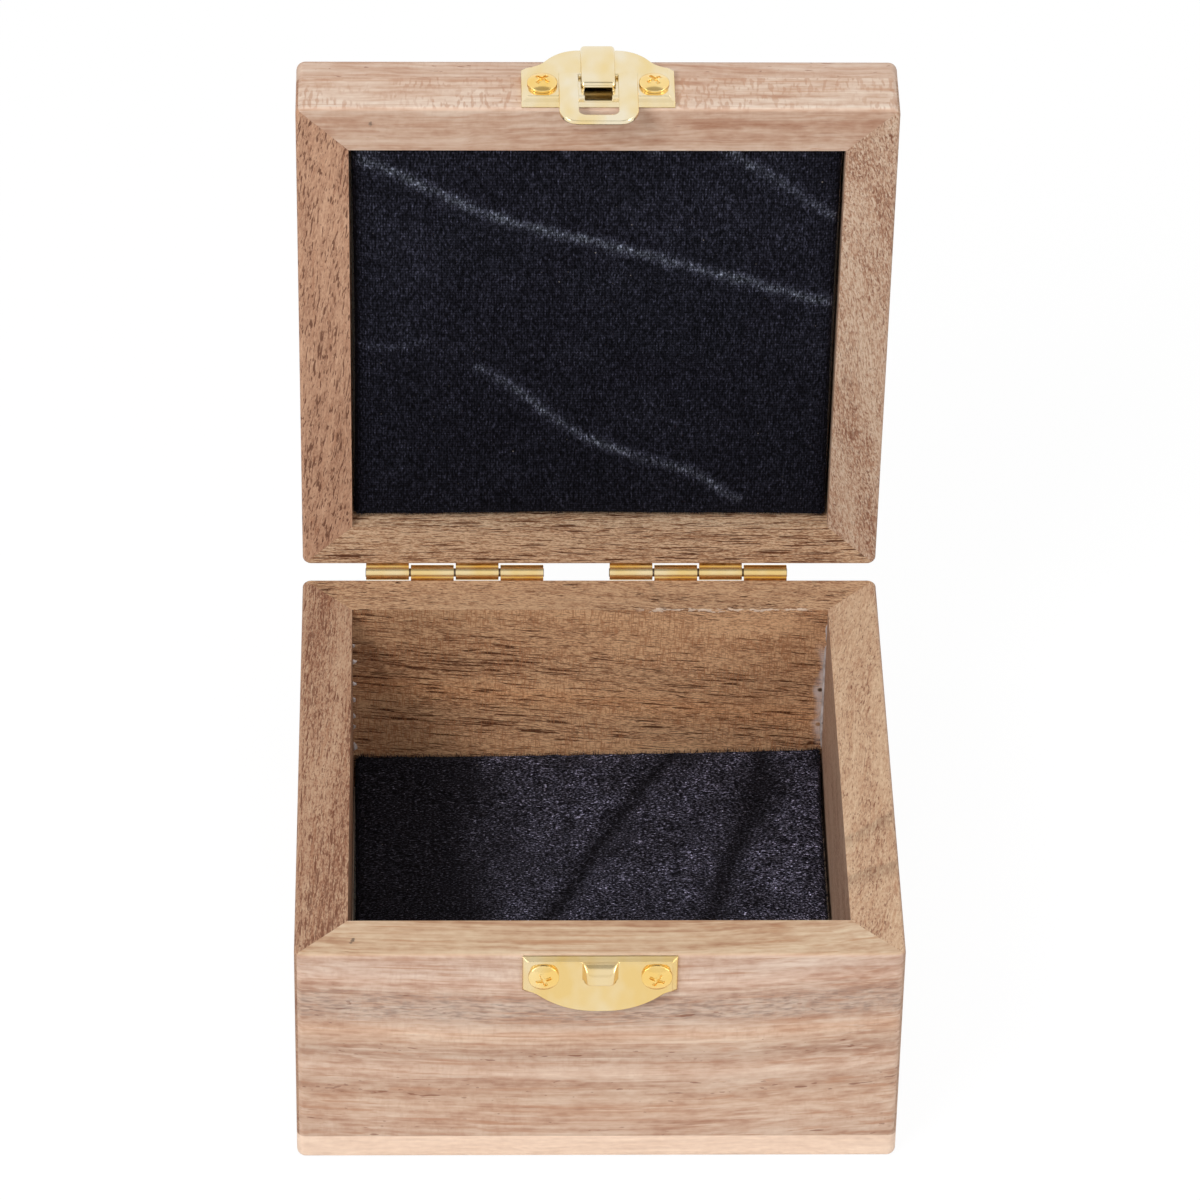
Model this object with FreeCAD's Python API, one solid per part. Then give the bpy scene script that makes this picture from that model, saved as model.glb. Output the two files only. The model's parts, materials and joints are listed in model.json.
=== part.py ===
import FreeCAD
import Part
import math
import os

V = FreeCAD.Vector

# Millimetres and degrees. +Z is up, the front faces -Y, and the origin is the
# centre of the underside. The lid is shaped closed, then turned open.

# Wooden box
box_width = 107.0
box_depth = 107.0
wall = 9.3
base_height = 48.0
bottom_board = 5.4
lid_rail_height = 9.1
lid_panel = 5.5
seam_gap = 0.4
lid_open_angle = 86.5
edge_round = 1.4
corner_ease = 0.2
rim_round = 0.7

# Velvet lining
pad_clearance = 0.3
pad_board = 1.5
floor_pad_height = 6.1
lid_pad_height = 5.5
pad_crown = 0.5
pad_edge_roll = 1.2
pad_draw_in = 0.4
pad_crown_steps = [(0.4, 0.7), (0.8, 1.0)]

# Butt hinges on the back faces
hinge_left_x = -25.15
hinge_right_x = 20.35
hinge_length = 33.1
hinge_knuckles = 4
knuckle_gap = 0.37
pin_radius = 0.8
pin_proud = 0.1
bore_clearance = 0.05
leaf_thickness = 0.6
leaf_reach = 11.0
barrel_clearance = 0.3
hinge_screw_spacing = 20.0
hinge_screw_reach = 6.6

# Screws
screw_clearance = 0.15
pilot_clearance = 0.05
hinge_screw_head_radius = 1.7
hinge_screw_head_height = 0.8
hinge_screw_shank_radius = 0.8
hinge_screw_length = 6.0
hinge_screw_turns = (25, 75)
clasp_screw_head_radius = 2.7
clasp_screw_head_height = 1.35
clasp_screw_shank_radius = 1.1
clasp_screw_length = 8.0
clasp_screw_spacing = 19.8
clasp_screw_turns = (50, 35)
keeper_screw_turns = (20, 65)
head_rim_share = 0.4
recess_depth_share = 0.4
recess_width_share = 0.24
recess_span_share = 1.05

# Clasp plate on the lid, sizes up from the lid's rim and out from the wood
clasp_width = 27.2
clasp_sheet = 0.6
clasp_bevel = 0.3
clasp_slope = 1.05
clasp_draft = 0.35
clasp_end_draft = 0.85
clasp_raise = 2.2
clasp_foot_height = 0.3
clasp_tab_height = 9.6
clasp_crown_height = 14.8
clasp_crown_width = 6.6
clasp_sweep_radius = 5.0
clasp_screw_height = 4.2
clasp_notch_raise = 1.4
tongue_width = 6.1
tongue_end_height = 2.4
tongue_root_drop = 1.0
tongue_lip = 1.0
tongue_bend = 0.8
tongue_edge_round = 0.75
tongue_clearance = 0.15

# Clasp lever, a ring hung under the tongue
lever_width = 14.0
lever_thickness = 0.8
lever_clearance = 0.1
lever_pivot_height = 6.3
lever_tip_drop = 7.6
lever_bar = 1.9
lever_corner = 3.6
lever_edge_round = 0.3
lever_window_gap = 0.5
lever_window_corner = 1.3

# Keeper plate on the base, sizes down from the rim and out from the wood
keeper_raise = 1.5
keeper_foot_drop = 0.05
keeper_tab_height = 7.6
keeper_crown_height = 12.3
keeper_crown_width = 1.6
keeper_sweep_radius = 4.0
keeper_screw_drop = 3.5
hook_width = 6.8
hook_nose_width = 5.2
hook_top_drop = 0.4
hook_end_drop = 4.1
hook_grip = 0.75
hook_edge_round = 1.2
hook_hollow_lift = 0.7
hook_stations = [(0, 0.2), (0.15, 0.55), (0.35, 0.82), (0.6, 0.95), (0.82, 1.0), (0.94, 0.94), (1, 0.75)]

# Values that follow from the sizes above
half_width = box_width / 2
half_depth = box_depth / 2
corner_radius = edge_round + corner_ease
lid_rim = base_height + seam_gap
lid_shelf = lid_rim + lid_rail_height
barrel_radius = pin_radius + bore_clearance + leaf_thickness
hinge_axis = V(0, half_depth + barrel_radius + barrel_clearance, base_height + seam_gap / 2)
knuckle_length = (hinge_length - (hinge_knuckles - 1) * knuckle_gap) / hinge_knuckles
lever_inner = clasp_raise + lever_clearance
lever_axis_raise = lever_inner + lever_thickness / 2
tongue_raise = lever_inner + lever_thickness + tongue_clearance + clasp_sheet
hook_raise = lever_inner + lever_thickness + hook_grip
lever_slot_half = lever_thickness / 2 + tongue_clearance
front_face = -half_depth
X_AXIS = V(1, 0, 0)
tolerance = 1e-6


def opened(shape):
    """The shape of a lid piece, turned from closed to open about the hinge axis."""
    return shape.rotated(hinge_axis, X_AXIS, -lid_open_angle)


def prism(points, direction):
    """A closed polygon of points, extruded."""
    return Part.Face(Part.makePolygon(points + points[:1])).extrude(direction)


def edges_at(shape, z):
    """The edges that lie in the level plane at z."""
    found = []
    for edge in shape.Edges:
        low, high = edge.BoundBox.ZMin, edge.BoundBox.ZMax
        if abs(low - z) < tolerance and abs(high - z) < tolerance:
            found.append(edge)
    return found


def upright_edges(shape):
    """The edges that run straight up."""
    found = []
    for edge in shape.Edges:
        if edge.BoundBox.XLength < tolerance and edge.BoundBox.YLength < tolerance:
            found.append(edge)
    return found


def edges_through(shape, points):
    """The edges that pass through any of the points."""
    spots = [Part.Vertex(point) for point in points]
    return [edge for edge in shape.Edges if any(edge.distToShape(spot)[0] < tolerance for spot in spots)]


def rounded_block(z, height, softened_z, softening):
    """The box's plan raised by height from z, its corners and one level edge loop rounded."""
    block = Part.makeBox(box_width, box_depth, height, V(-half_width, -half_depth, z))
    block = block.makeFillet(corner_radius, upright_edges(block))
    return block.makeFillet(softening, edges_at(block, softened_z))


def mitred_frame(z, height, rim_z):
    """Four mitred pieces round the box's plan, named by side."""
    ring = rounded_block(z, height, rim_z, rim_round)
    hollow = Part.makeBox(
        box_width - 2 * wall, box_depth - 2 * wall, height, V(wall - half_width, wall - half_depth, z)
    )
    ring = ring.cut(hollow)
    signs = [(-1, -1), (1, -1), (1, 1), (-1, 1)]
    outer = [V(sx * (half_width + wall), sy * (half_depth + wall), z) for sx, sy in signs]
    inner = [V(sx * (half_width - 2 * wall), sy * (half_depth - 2 * wall), z) for sx, sy in signs]
    pieces = {}
    for i, side in enumerate(["front", "right", "back", "left"]):
        j = (i + 1) % len(signs)
        wedge = prism([outer[i], outer[j], inner[j], inner[i]], V(0, 0, height))
        pieces[side] = ring.common(wedge)
    return pieces


def bowed_rectangle(half_x, half_y, z):
    """A rectangle whose sides draw in between its corners."""
    corners = [(-1, -1), (1, -1), (1, 1), (-1, 1)]
    middles = [(0, -1), (1, 0), (0, 1), (-1, 0)]
    arcs = []
    for i, (mx, my) in enumerate(middles):
        start, end = corners[i], corners[(i + 1) % 4]
        arcs.append(
            Part.Arc(
                V(start[0] * half_x, start[1] * half_y, z),
                V(mx * (half_x - pad_draw_in), my * (half_y - pad_draw_in), z),
                V(end[0] * half_x, end[1] * half_y, z),
            ).toShape()
        )
    return Part.Wire(arcs)


def velvet_pad(height):
    """A pad that fills the box's plan, standing on z = 0, with rolled edges and a low crown."""
    half_x = half_width - wall - pad_clearance
    half_y = half_depth - wall - pad_clearance
    shoulder = height - pad_crown
    roll = pad_edge_roll
    levels = [
        (0, roll / 2, roll / 2),
        (roll, 0, 0),
        (shoulder - roll, 0, 0),
        (shoulder - roll / 3, roll / 3, roll / 3),
        (shoulder, roll, roll),
    ]
    for way_in, rise in pad_crown_steps:
        levels.append((shoulder + pad_crown * rise, half_x * way_in, half_y * way_in))
    sections = [bowed_rectangle(half_x - dx, half_y - dy, z) for z, dx, dy in levels]
    return Part.makeLoft(sections, True, True)


def pad_base():
    """The card that stiffens a pad, standing on z = 0."""
    inset = wall + pad_clearance
    return Part.makeBox(
        box_width - 2 * inset, box_depth - 2 * inset, pad_board, V(inset - half_width, inset - half_depth, 0)
    )


def screw(head_radius, head_height, shank_radius, length, turn):
    """A pan-head cross-recess screw along Z, its head standing on z = 0."""
    rim = head_height * head_rim_share
    dome = head_height - rim
    dome_radius = (head_radius ** 2 + dome ** 2) / (2 * dome)
    half_angle = math.asin(head_radius / dome_radius) / 2
    bulge = V(dome_radius * math.sin(half_angle), 0, head_height - dome_radius * (1 - math.cos(half_angle)))
    outline = Part.Wire(
        [
            Part.makeLine(V(0, 0, 0), V(head_radius, 0, 0)),
            Part.makeLine(V(head_radius, 0, 0), V(head_radius, 0, rim)),
            Part.Arc(V(head_radius, 0, rim), bulge, V(0, 0, head_height)).toShape(),
            Part.makeLine(V(0, 0, head_height), V(0, 0, 0)),
        ]
    )
    head = Part.Face(outline).revolve(V(0, 0, 0), V(0, 0, 1), 360)
    slot_width = head_radius * recess_width_share
    slot_span = head_radius * recess_span_share
    slot_depth = head_height * recess_depth_share
    for slot_turn in (turn, turn + 90):
        slot = Part.makeBox(slot_span, slot_width, head_height, V(-slot_span / 2, -slot_width / 2, 0))
        slot.translate(V(0, 0, head_height - slot_depth))
        slot.rotate(V(0, 0, 0), V(0, 0, 1), slot_turn)
        head = head.cut(slot)
    tip = 2 * shank_radius
    shank = Part.makeCylinder(shank_radius, length - tip, V(0, 0, tip - length))
    point = Part.makeCone(0, shank_radius, tip, V(0, 0, -length))
    return head.fuse([shank, point]).removeSplitter()


def facing(shape, place, towards_front):
    """A shape built along Z, turned to point out of the front or back face and set at place."""
    turned = shape.rotated(V(0, 0, 0), X_AXIS, 90 if towards_front else -90)
    return turned.translated(place)


def bore(radius, start, length, direction):
    """A round hole to cut, from start."""
    return Part.makeCylinder(radius, length, start, direction)


# Hinges


def knuckle_spans(of_lid):
    """Where the knuckles of one leaf start along the hinge, from its left end."""
    first = 0 if of_lid else 1
    pitch = knuckle_length + knuckle_gap
    return [i * pitch for i in range(first, hinge_knuckles, 2)]


def hinge_leaf(centre_x, of_lid):
    """One leaf: a plate on the wood's back face, rolled into alternate knuckles, pierced for screws."""
    left = centre_x - hinge_length / 2
    up = 1 if of_lid else -1
    axis = hinge_axis
    plate_low = axis.z if of_lid else axis.z - leaf_reach
    plate = Part.makeBox(hinge_length, leaf_thickness, leaf_reach, V(left, half_depth, plate_low))
    notch_reach = barrel_radius + barrel_clearance
    notch_low = axis.z if of_lid else axis.z - notch_reach
    for start in knuckle_spans(not of_lid):
        notch = Part.makeBox(
            knuckle_length + 2 * knuckle_gap,
            leaf_thickness,
            notch_reach,
            V(left + start - knuckle_gap, half_depth, notch_low),
        )
        plate = plate.cut(notch)
    for start in knuckle_spans(of_lid):
        place = V(left + start, axis.y, axis.z)
        plate = plate.fuse(Part.makeCylinder(barrel_radius, knuckle_length, place, X_AXIS))
    bore_start = V(left - knuckle_gap, axis.y, axis.z)
    bore_length = hinge_length + 2 * knuckle_gap
    plate = plate.cut(bore(pin_radius + bore_clearance, bore_start, bore_length, X_AXIS))
    for place in hinge_screw_places(centre_x, up):
        hole_radius = hinge_screw_shank_radius + screw_clearance
        plate = plate.cut(bore(hole_radius, place, leaf_thickness, V(0, -1, 0)))
    return plate.removeSplitter()


def hinge_screw_places(centre_x, up):
    """Where the heads of one leaf's screws sit."""
    y = half_depth + leaf_thickness
    z = hinge_axis.z + up * hinge_screw_reach
    return [V(centre_x + side * hinge_screw_spacing / 2, y, z) for side in (-1, 1)]


def hinge_pin(centre_x):
    """The pin through one hinge's knuckles, its ends a little proud."""
    length = hinge_length + 2 * pin_proud
    return Part.makeCylinder(pin_radius, length, V(centre_x - length / 2, hinge_axis.y, hinge_axis.z), X_AXIS)


def hinge_screws(up):
    """The screws of both leaves on one side of the seam."""
    screws = []
    for centre_x in (hinge_left_x, hinge_right_x):
        for place, turn in zip(hinge_screw_places(centre_x, up), hinge_screw_turns):
            body = screw(
                hinge_screw_head_radius,
                hinge_screw_head_height,
                hinge_screw_shank_radius,
                hinge_screw_length,
                turn,
            )
            screws.append(facing(body, place, False))
    return screws


def hinge_pilots(up):
    """The screw holes in the wood behind both leaves on one side of the seam."""
    radius = hinge_screw_shank_radius + pilot_clearance
    holes = []
    for centre_x in (hinge_left_x, hinge_right_x):
        for place in hinge_screw_places(centre_x, up):
            holes.append(bore(radius, place, hinge_screw_length + pilot_clearance, V(0, -1, 0)))
    return holes


# Clasp


class Face:
    """A place on the front of the box: across, away from the seam, and out from the wood."""

    def __init__(self, seam_z, away):
        self.seam_z = seam_z
        self.away = away

    def point(self, across, height, out):
        return V(across, front_face - out, self.seam_z + self.away * height)

    def block(self, half_across, low, high, inner, outer):
        corners = [(-1, low), (1, low), (1, high), (-1, high)]
        points = [self.point(side * half_across, height, inner) for side, height in corners]
        return prism(points, V(0, inner - outer, 0))


lid_face = Face(lid_rim, 1)
base_face = Face(base_height, -1)


def plate_outline(face, foot, tab, crown, crown_width, sweep, inset, end_inset, out):
    """A plate's edge, moved in: straight along its foot, square tabs at its ends, and an ogee to its crown."""
    half = clasp_width / 2
    crown_half = crown_width / 2
    run, rise = half - crown_half, crown - tab
    swell = (run ** 2 + rise ** 2) / (2 * rise) - sweep
    hollow_centre = (half, tab + sweep)
    swell_centre = (crown_half, crown - swell)
    reach = sweep + inset
    lean = math.atan2(swell_centre[1] - hollow_centre[1], swell_centre[0] - hollow_centre[0])
    tab_angle = -math.pi / 2 - math.asin(end_inset / reach)
    lean_down = lean if lean < 0 else lean - 2 * math.pi

    def hollow_point(angle):
        return hollow_centre[0] + reach * math.cos(angle), hollow_centre[1] + reach * math.sin(angle)

    def swell_point(angle):
        radius = swell - inset
        return swell_centre[0] + radius * math.cos(angle), swell_centre[1] + radius * math.sin(angle)

    turn_angle = lean_down + math.pi
    right = [
        hollow_point(tab_angle),
        hollow_point((tab_angle + lean_down) / 2),
        hollow_point(lean_down),
        swell_point((turn_angle + math.pi / 2) / 2),
        swell_point(math.pi / 2),
    ]
    points = [face.point(x, height, out) for x, height in right]
    mirrored = [face.point(-x, height, out) for x, height in right]
    foot_right = face.point(half - end_inset, foot + inset, out)
    foot_left = face.point(end_inset - half, foot + inset, out)
    return Part.Wire(
        [
            Part.makeLine(foot_left, foot_right),
            Part.makeLine(foot_right, points[0]),
            Part.Arc(points[0], points[1], points[2]).toShape(),
            Part.Arc(points[2], points[3], points[4]).toShape(),
            Part.makeLine(points[4], mirrored[4]),
            Part.Arc(mirrored[4], mirrored[3], mirrored[2]).toShape(),
            Part.Arc(mirrored[2], mirrored[1], mirrored[0]).toShape(),
            Part.makeLine(mirrored[0], foot_left),
        ]
    )


def pressed_plate(face, shape, raise_, screw_height):
    """A shallow pressed pan, open to the wood, with drawn-in sides, bevelled edges and two screw holes."""
    draft, end_draft, sheet = clasp_draft, clasp_end_draft, clasp_sheet
    outer = [
        plate_outline(face, *shape, 0, 0, 0),
        plate_outline(face, *shape, 0, 0, raise_ - clasp_slope),
        plate_outline(face, *shape, draft, end_draft, raise_ - clasp_bevel),
        plate_outline(face, *shape, draft + clasp_bevel, end_draft + clasp_bevel, raise_),
    ]
    hollow = [
        plate_outline(face, *shape, sheet, sheet, 0),
        plate_outline(face, *shape, draft + sheet, end_draft + sheet, raise_ - sheet),
    ]
    pan = Part.makeLoft(outer, True, True).cut(Part.makeLoft(hollow, True, True))
    for place in clasp_screw_places(face, screw_height, raise_):
        pan = pan.cut(bore(clasp_screw_shank_radius + screw_clearance, place, raise_, V(0, 1, 0)))
    return pan


def clasp_screw_places(face, height, raise_):
    """Where the heads of one plate's screws sit."""
    return [face.point(side * clasp_screw_spacing / 2, height, raise_) for side in (-1, 1)]


def clasp_screws(face, height, raise_, turns):
    """One plate's screws."""
    screws = []
    for place, turn in zip(clasp_screw_places(face, height, raise_), turns):
        body = screw(
            clasp_screw_head_radius,
            clasp_screw_head_height,
            clasp_screw_shank_radius,
            clasp_screw_length,
            turn,
        )
        screws.append(facing(body, place, True))
    return screws


def clasp_pilots(face, height, raise_):
    """The screw holes in the wood behind one plate."""
    radius = clasp_screw_shank_radius + pilot_clearance
    reach = clasp_screw_length + pilot_clearance
    return [bore(radius, place, reach, V(0, 1, 0)) for place in clasp_screw_places(face, height, raise_)]


def side_profile(face, half_across, edges):
    """A closed profile of (height, out) runs, drawn in side view and extruded across the clasp."""
    shapes = []
    for run in edges:
        points = [face.point(-half_across, height, out) for height, out in run]
        if len(points) == 2:
            shapes.append(Part.makeLine(*points))
        else:
            shapes.append(Part.Arc(*points).toShape())
    return Part.Face(Part.Wire(shapes)).extrude(V(2 * half_across, 0, 0))


def tongue():
    """The raised tongue over the lever's bar: a small box tunnel, open at its end and slotted for the bar."""
    half, inner_half = tongue_width / 2, tongue_width / 2 - clasp_sheet
    root, end = clasp_crown_height - tongue_root_drop, tongue_end_height
    top, under = tongue_raise, tongue_raise - clasp_sheet
    bend = tongue_bend
    soft = bend * (1 - math.sqrt(0.5))
    root_bend = [(root, top - bend), (root - soft, top - soft), (root - bend, top)]
    end_bend = [(end + bend, top), (end + soft, top - soft), (end, top - bend)]
    edges = [
        [(root, 0), root_bend[0]],
        root_bend,
        [root_bend[-1], end_bend[0]],
        end_bend,
        [end_bend[-1], (end, 0)],
        [(end, 0), (root, 0)],
    ]
    box = side_profile(lid_face, half, edges)
    top_middle = ((root + end) / 2, top)
    ridge = [
        lid_face.point(side * half, height, out)
        for side in (-1, 1)
        for height, out in (root_bend[1], top_middle, end_bend[1])
    ]
    box = box.makeFillet(tongue_edge_round, edges_through(box, ridge))
    lip_end = end + clasp_sheet
    tunnel = lid_face.block(inner_half, lip_end, root - clasp_sheet, clasp_sheet, under)
    mouth = lid_face.block(inner_half, end, lip_end, clasp_sheet, top - tongue_lip)
    low, high = lever_pivot_height - lever_slot_half, lever_pivot_height + lever_slot_half
    slot = lid_face.block(half, low, high, clasp_raise, under)
    floor = lid_face.block(inner_half, clasp_foot_height, lip_end, 0, clasp_sheet)
    return box.cut([tunnel, mouth, slot]).fuse(floor)


def clasp_plate():
    """The lid's plate, with its tongue over a window in the sheet."""
    shape = (clasp_foot_height, clasp_tab_height, clasp_crown_height, clasp_crown_width, clasp_sweep_radius)
    pan = pressed_plate(lid_face, shape, clasp_raise, clasp_screw_height)
    inner_half = tongue_width / 2 - clasp_sheet
    window_top = clasp_crown_height - tongue_root_drop - clasp_sheet
    window = lid_face.block(inner_half, 0, window_top, clasp_notch_raise, clasp_raise)
    return pan.cut(window).fuse(tongue()).removeSplitter()


def clasp_lever():
    """A ring of sheet: two arms, a cross bar that goes under the hook, and a round bar under the tongue."""
    half = lever_width / 2
    window_half = tongue_width / 2 + lever_window_gap
    pivot, tip = lever_pivot_height, -lever_tip_drop
    inner, outer = lever_inner, lever_inner + lever_thickness
    soft = lever_corner * (1 - math.sqrt(0.5))

    def at(across, height):
        return lid_face.point(across, height, inner)

    outline = Part.Wire(
        [
            Part.makeLine(at(-half, pivot), at(-half, tip + lever_corner)),
            Part.Arc(
                at(-half, tip + lever_corner), at(soft - half, tip + soft), at(lever_corner - half, tip)
            ).toShape(),
            Part.makeLine(at(lever_corner - half, tip), at(half - lever_corner, tip)),
            Part.Arc(
                at(half - lever_corner, tip), at(half - soft, tip + soft), at(half, tip + lever_corner)
            ).toShape(),
            Part.makeLine(at(half, tip + lever_corner), at(half, pivot)),
            Part.makeLine(at(half, pivot), at(-half, pivot)),
        ]
    )
    ring = Part.Face(outline).extrude(V(0, inner - outer, 0))
    middle = (pivot + tip) / 2
    rim = [(-half, middle), (half, middle), (0, tip), (soft - half, tip + soft), (half - soft, tip + soft)]
    rim_points = [lid_face.point(across, height, outer) for across, height in rim]
    ring = ring.makeFillet(lever_edge_round, edges_through(ring, rim_points))
    window = lid_face.block(window_half, tip + lever_bar, pivot + lever_thickness, inner, outer)
    low_corners = [lid_face.point(side * window_half, tip + lever_bar, inner) for side in (-1, 1)]
    upright = [edge for edge in edges_through(window, low_corners) if edge.BoundBox.XLength < tolerance]
    upright = [edge for edge in upright if edge.BoundBox.ZLength < tolerance]
    ring = ring.cut(window.makeFillet(lever_window_corner, upright))
    pivot_bar = Part.makeCylinder(
        lever_thickness / 2, lever_width, lid_face.point(-half, pivot, lever_axis_raise), X_AXIS
    )
    return ring.fuse(pivot_bar).removeSplitter()


def hook_arch(way, lift, inset):
    """A cross-section of the hook, part of the way down it and lifted a share of its height."""
    drop = hook_top_drop + way * (hook_end_drop - hook_top_drop)
    top = keeper_raise + lift * (hook_raise - keeper_raise) - inset
    foot = hook_width / 2 - inset
    shoulder = foot - lift * (hook_width - hook_nose_width) / 2
    bend = (hook_edge_round * (1 + lift) - inset) / 2
    soft = bend * (1 - math.sqrt(0.5))
    base = keeper_raise - clasp_sheet / 2
    right = [(foot, base), (shoulder, top - bend), (shoulder - soft, top - soft), (shoulder - bend, top)]
    ends = [base_face.point(x, drop, out) for x, out in right]
    mirrored = [base_face.point(-x, drop, out) for x, out in right]
    return Part.Wire(
        [
            Part.makeLine(ends[0], ends[1]),
            Part.Arc(*ends[1:]).toShape(),
            Part.makeLine(ends[3], mirrored[3]),
            Part.Arc(mirrored[3], mirrored[2], mirrored[1]).toShape(),
            Part.makeLine(mirrored[1], mirrored[0]),
            Part.makeLine(mirrored[0], ends[0]),
        ]
    )


def hook():
    """The keeper's pressed-out bill, hollow and open at its nose, where it catches the lever's cross bar."""
    bill = Part.makeLoft([hook_arch(way, lift, 0) for way, lift in hook_stations], True, False)
    raised = [station for station in hook_stations if station[1] > hook_hollow_lift]
    hollow = Part.makeLoft([hook_arch(way, lift, clasp_sheet) for way, lift in raised], True, False)
    return bill.cut(hollow)


def keeper_plate():
    """The base's plate and its hook."""
    shape = (
        keeper_foot_drop,
        keeper_tab_height,
        keeper_crown_height,
        keeper_crown_width,
        keeper_sweep_radius,
    )
    pan = pressed_plate(base_face, shape, keeper_raise, keeper_screw_drop)
    return pan.fuse(hook()).removeSplitter()


# Assembly

base_walls = mitred_frame(bottom_board, base_height - bottom_board, base_height)
base_walls["front"] = base_walls["front"].cut(clasp_pilots(base_face, keeper_screw_drop, keeper_raise))
base_walls["back"] = base_walls["back"].cut(hinge_pilots(-1))
lid_rails = mitred_frame(lid_rim, lid_rail_height, lid_rim)
lid_rails["front"] = lid_rails["front"].cut(clasp_pilots(lid_face, clasp_screw_height, clasp_raise))
lid_rails["back"] = lid_rails["back"].cut(hinge_pilots(1))
upside_down = 180

nodes = {}
for side, piece in base_walls.items():
    nodes["base_" + side + "_wall"] = piece
nodes["bottom_board"] = rounded_block(0, bottom_board, 0, edge_round)
nodes["floor_pad_board"] = pad_base().translated(V(0, 0, bottom_board))
nodes["floor_velvet_pad"] = velvet_pad(floor_pad_height).translated(V(0, 0, bottom_board + pad_board))
nodes["keeper_plate"] = keeper_plate()
nodes["keeper_screws"] = Part.makeCompound(
    clasp_screws(base_face, keeper_screw_drop, keeper_raise, keeper_screw_turns)
)
nodes["hinge_base_screws"] = Part.makeCompound(hinge_screws(-1))

for side, piece in lid_rails.items():
    nodes["lid_" + side + "_rail"] = opened(piece)
panel = rounded_block(lid_shelf, lid_panel, lid_shelf + lid_panel, edge_round)
nodes["lid_panel"] = opened(panel)
lid_board = pad_base().translated(V(0, 0, lid_shelf - pad_board))
nodes["lid_pad_board"] = opened(lid_board)
lid_pad = velvet_pad(lid_pad_height).rotated(V(0, 0, 0), X_AXIS, upside_down)
nodes["lid_velvet_pad"] = opened(lid_pad.translated(V(0, 0, lid_shelf - pad_board)))
nodes["clasp_plate"] = opened(clasp_plate())
nodes["clasp_screws"] = opened(
    Part.makeCompound(clasp_screws(lid_face, clasp_screw_height, clasp_raise, clasp_screw_turns))
)
nodes["clasp_lever"] = opened(clasp_lever())
nodes["hinge_lid_screws"] = opened(Part.makeCompound(hinge_screws(1)))

for hand, centre_x in (("left", hinge_left_x), ("right", hinge_right_x)):
    nodes[hand + "_hinge_base_leaf"] = hinge_leaf(centre_x, False)
    nodes[hand + "_hinge_lid_leaf"] = opened(hinge_leaf(centre_x, True))
    nodes[hand + "_hinge_pin"] = hinge_pin(centre_x)

os.makedirs("parts", exist_ok=True)
for name, shape in nodes.items():
    shape.exportStep("parts/" + name + ".step")
    print(name, len(shape.Solids), round(shape.Volume, 2))

lever_axis = opened(Part.Vertex(lid_face.point(0, lever_pivot_height, lever_axis_raise))).Point
print("lid hinge axis", round(hinge_axis.y, 4), round(hinge_axis.z, 4))
print("lever axis", round(lever_axis.y, 4), round(lever_axis.z, 4))
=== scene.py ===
import bpy
import json
import math
import numpy as np
from mathutils import Matrix, Vector


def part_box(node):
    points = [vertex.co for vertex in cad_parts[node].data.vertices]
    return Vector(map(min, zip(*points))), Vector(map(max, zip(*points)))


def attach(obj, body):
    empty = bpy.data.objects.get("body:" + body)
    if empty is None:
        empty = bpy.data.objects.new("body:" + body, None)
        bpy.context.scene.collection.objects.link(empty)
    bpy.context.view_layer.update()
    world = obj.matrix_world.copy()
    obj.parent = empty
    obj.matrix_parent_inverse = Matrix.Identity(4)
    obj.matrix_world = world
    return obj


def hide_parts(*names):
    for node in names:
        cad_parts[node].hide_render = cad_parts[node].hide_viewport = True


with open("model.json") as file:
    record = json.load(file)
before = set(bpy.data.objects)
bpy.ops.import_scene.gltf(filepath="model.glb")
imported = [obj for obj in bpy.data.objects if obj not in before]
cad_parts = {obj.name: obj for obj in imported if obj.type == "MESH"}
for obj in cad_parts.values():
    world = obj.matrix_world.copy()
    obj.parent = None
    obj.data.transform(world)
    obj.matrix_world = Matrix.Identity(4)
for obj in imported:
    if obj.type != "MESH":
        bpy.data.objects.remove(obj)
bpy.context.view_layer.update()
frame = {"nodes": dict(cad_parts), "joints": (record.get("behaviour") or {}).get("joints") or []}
nodes = frame["nodes"]
joints = {joint["name"]: joint for joint in frame["joints"]}

MM = 0.001
QUARTER = math.pi / 2
lid_joint = joints["lid_hinge"]
LID_OPEN = math.radians(lid_joint["range_deg"][1])
HINGE = Vector(lid_joint["pos_m"])
CLOSED = Matrix.Translation(HINGE) @ Matrix.Rotation(LID_OPEN, 4, "X") @ Matrix.Translation(-HINGE)

# Inner faces of the right and back walls and the base's rim, in millimetres
back_low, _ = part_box("base_back_wall")
_, left_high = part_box("base_left_wall")
INNER_X = -left_high.x / MM
INNER_Y = back_low.y / MM
RIM = left_high.z / MM

# Camera, fitted to the photograph's corners
CAMERA_PLACE = (-0.02923, -0.95678, 0.83312)
CAMERA_TURN = (51.9813, -0.8553, -1.1056)
CAMERA_LENS = 205.488
CAMERA_SENSOR = 36.0

# Wood colours, each the mean of a piece, linear RGB
FRONT_WALL = (0.61, 0.415, 0.305)
LEFT_WALL = (0.44, 0.255, 0.16)
RIGHT_WALL = (0.50, 0.32, 0.222)
BACK_WALL = (0.635, 0.360, 0.197)
LID_FRONT = (0.64, 0.455, 0.345)
LID_LEFT = (0.505, 0.285, 0.18)
LID_RIGHT = (0.54, 0.355, 0.245)
LID_BACK = (0.58, 0.37, 0.228)
LID_TOP = (0.62, 0.44, 0.335)
PALE_BOARD = (0.87, 0.65, 0.50)

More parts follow.
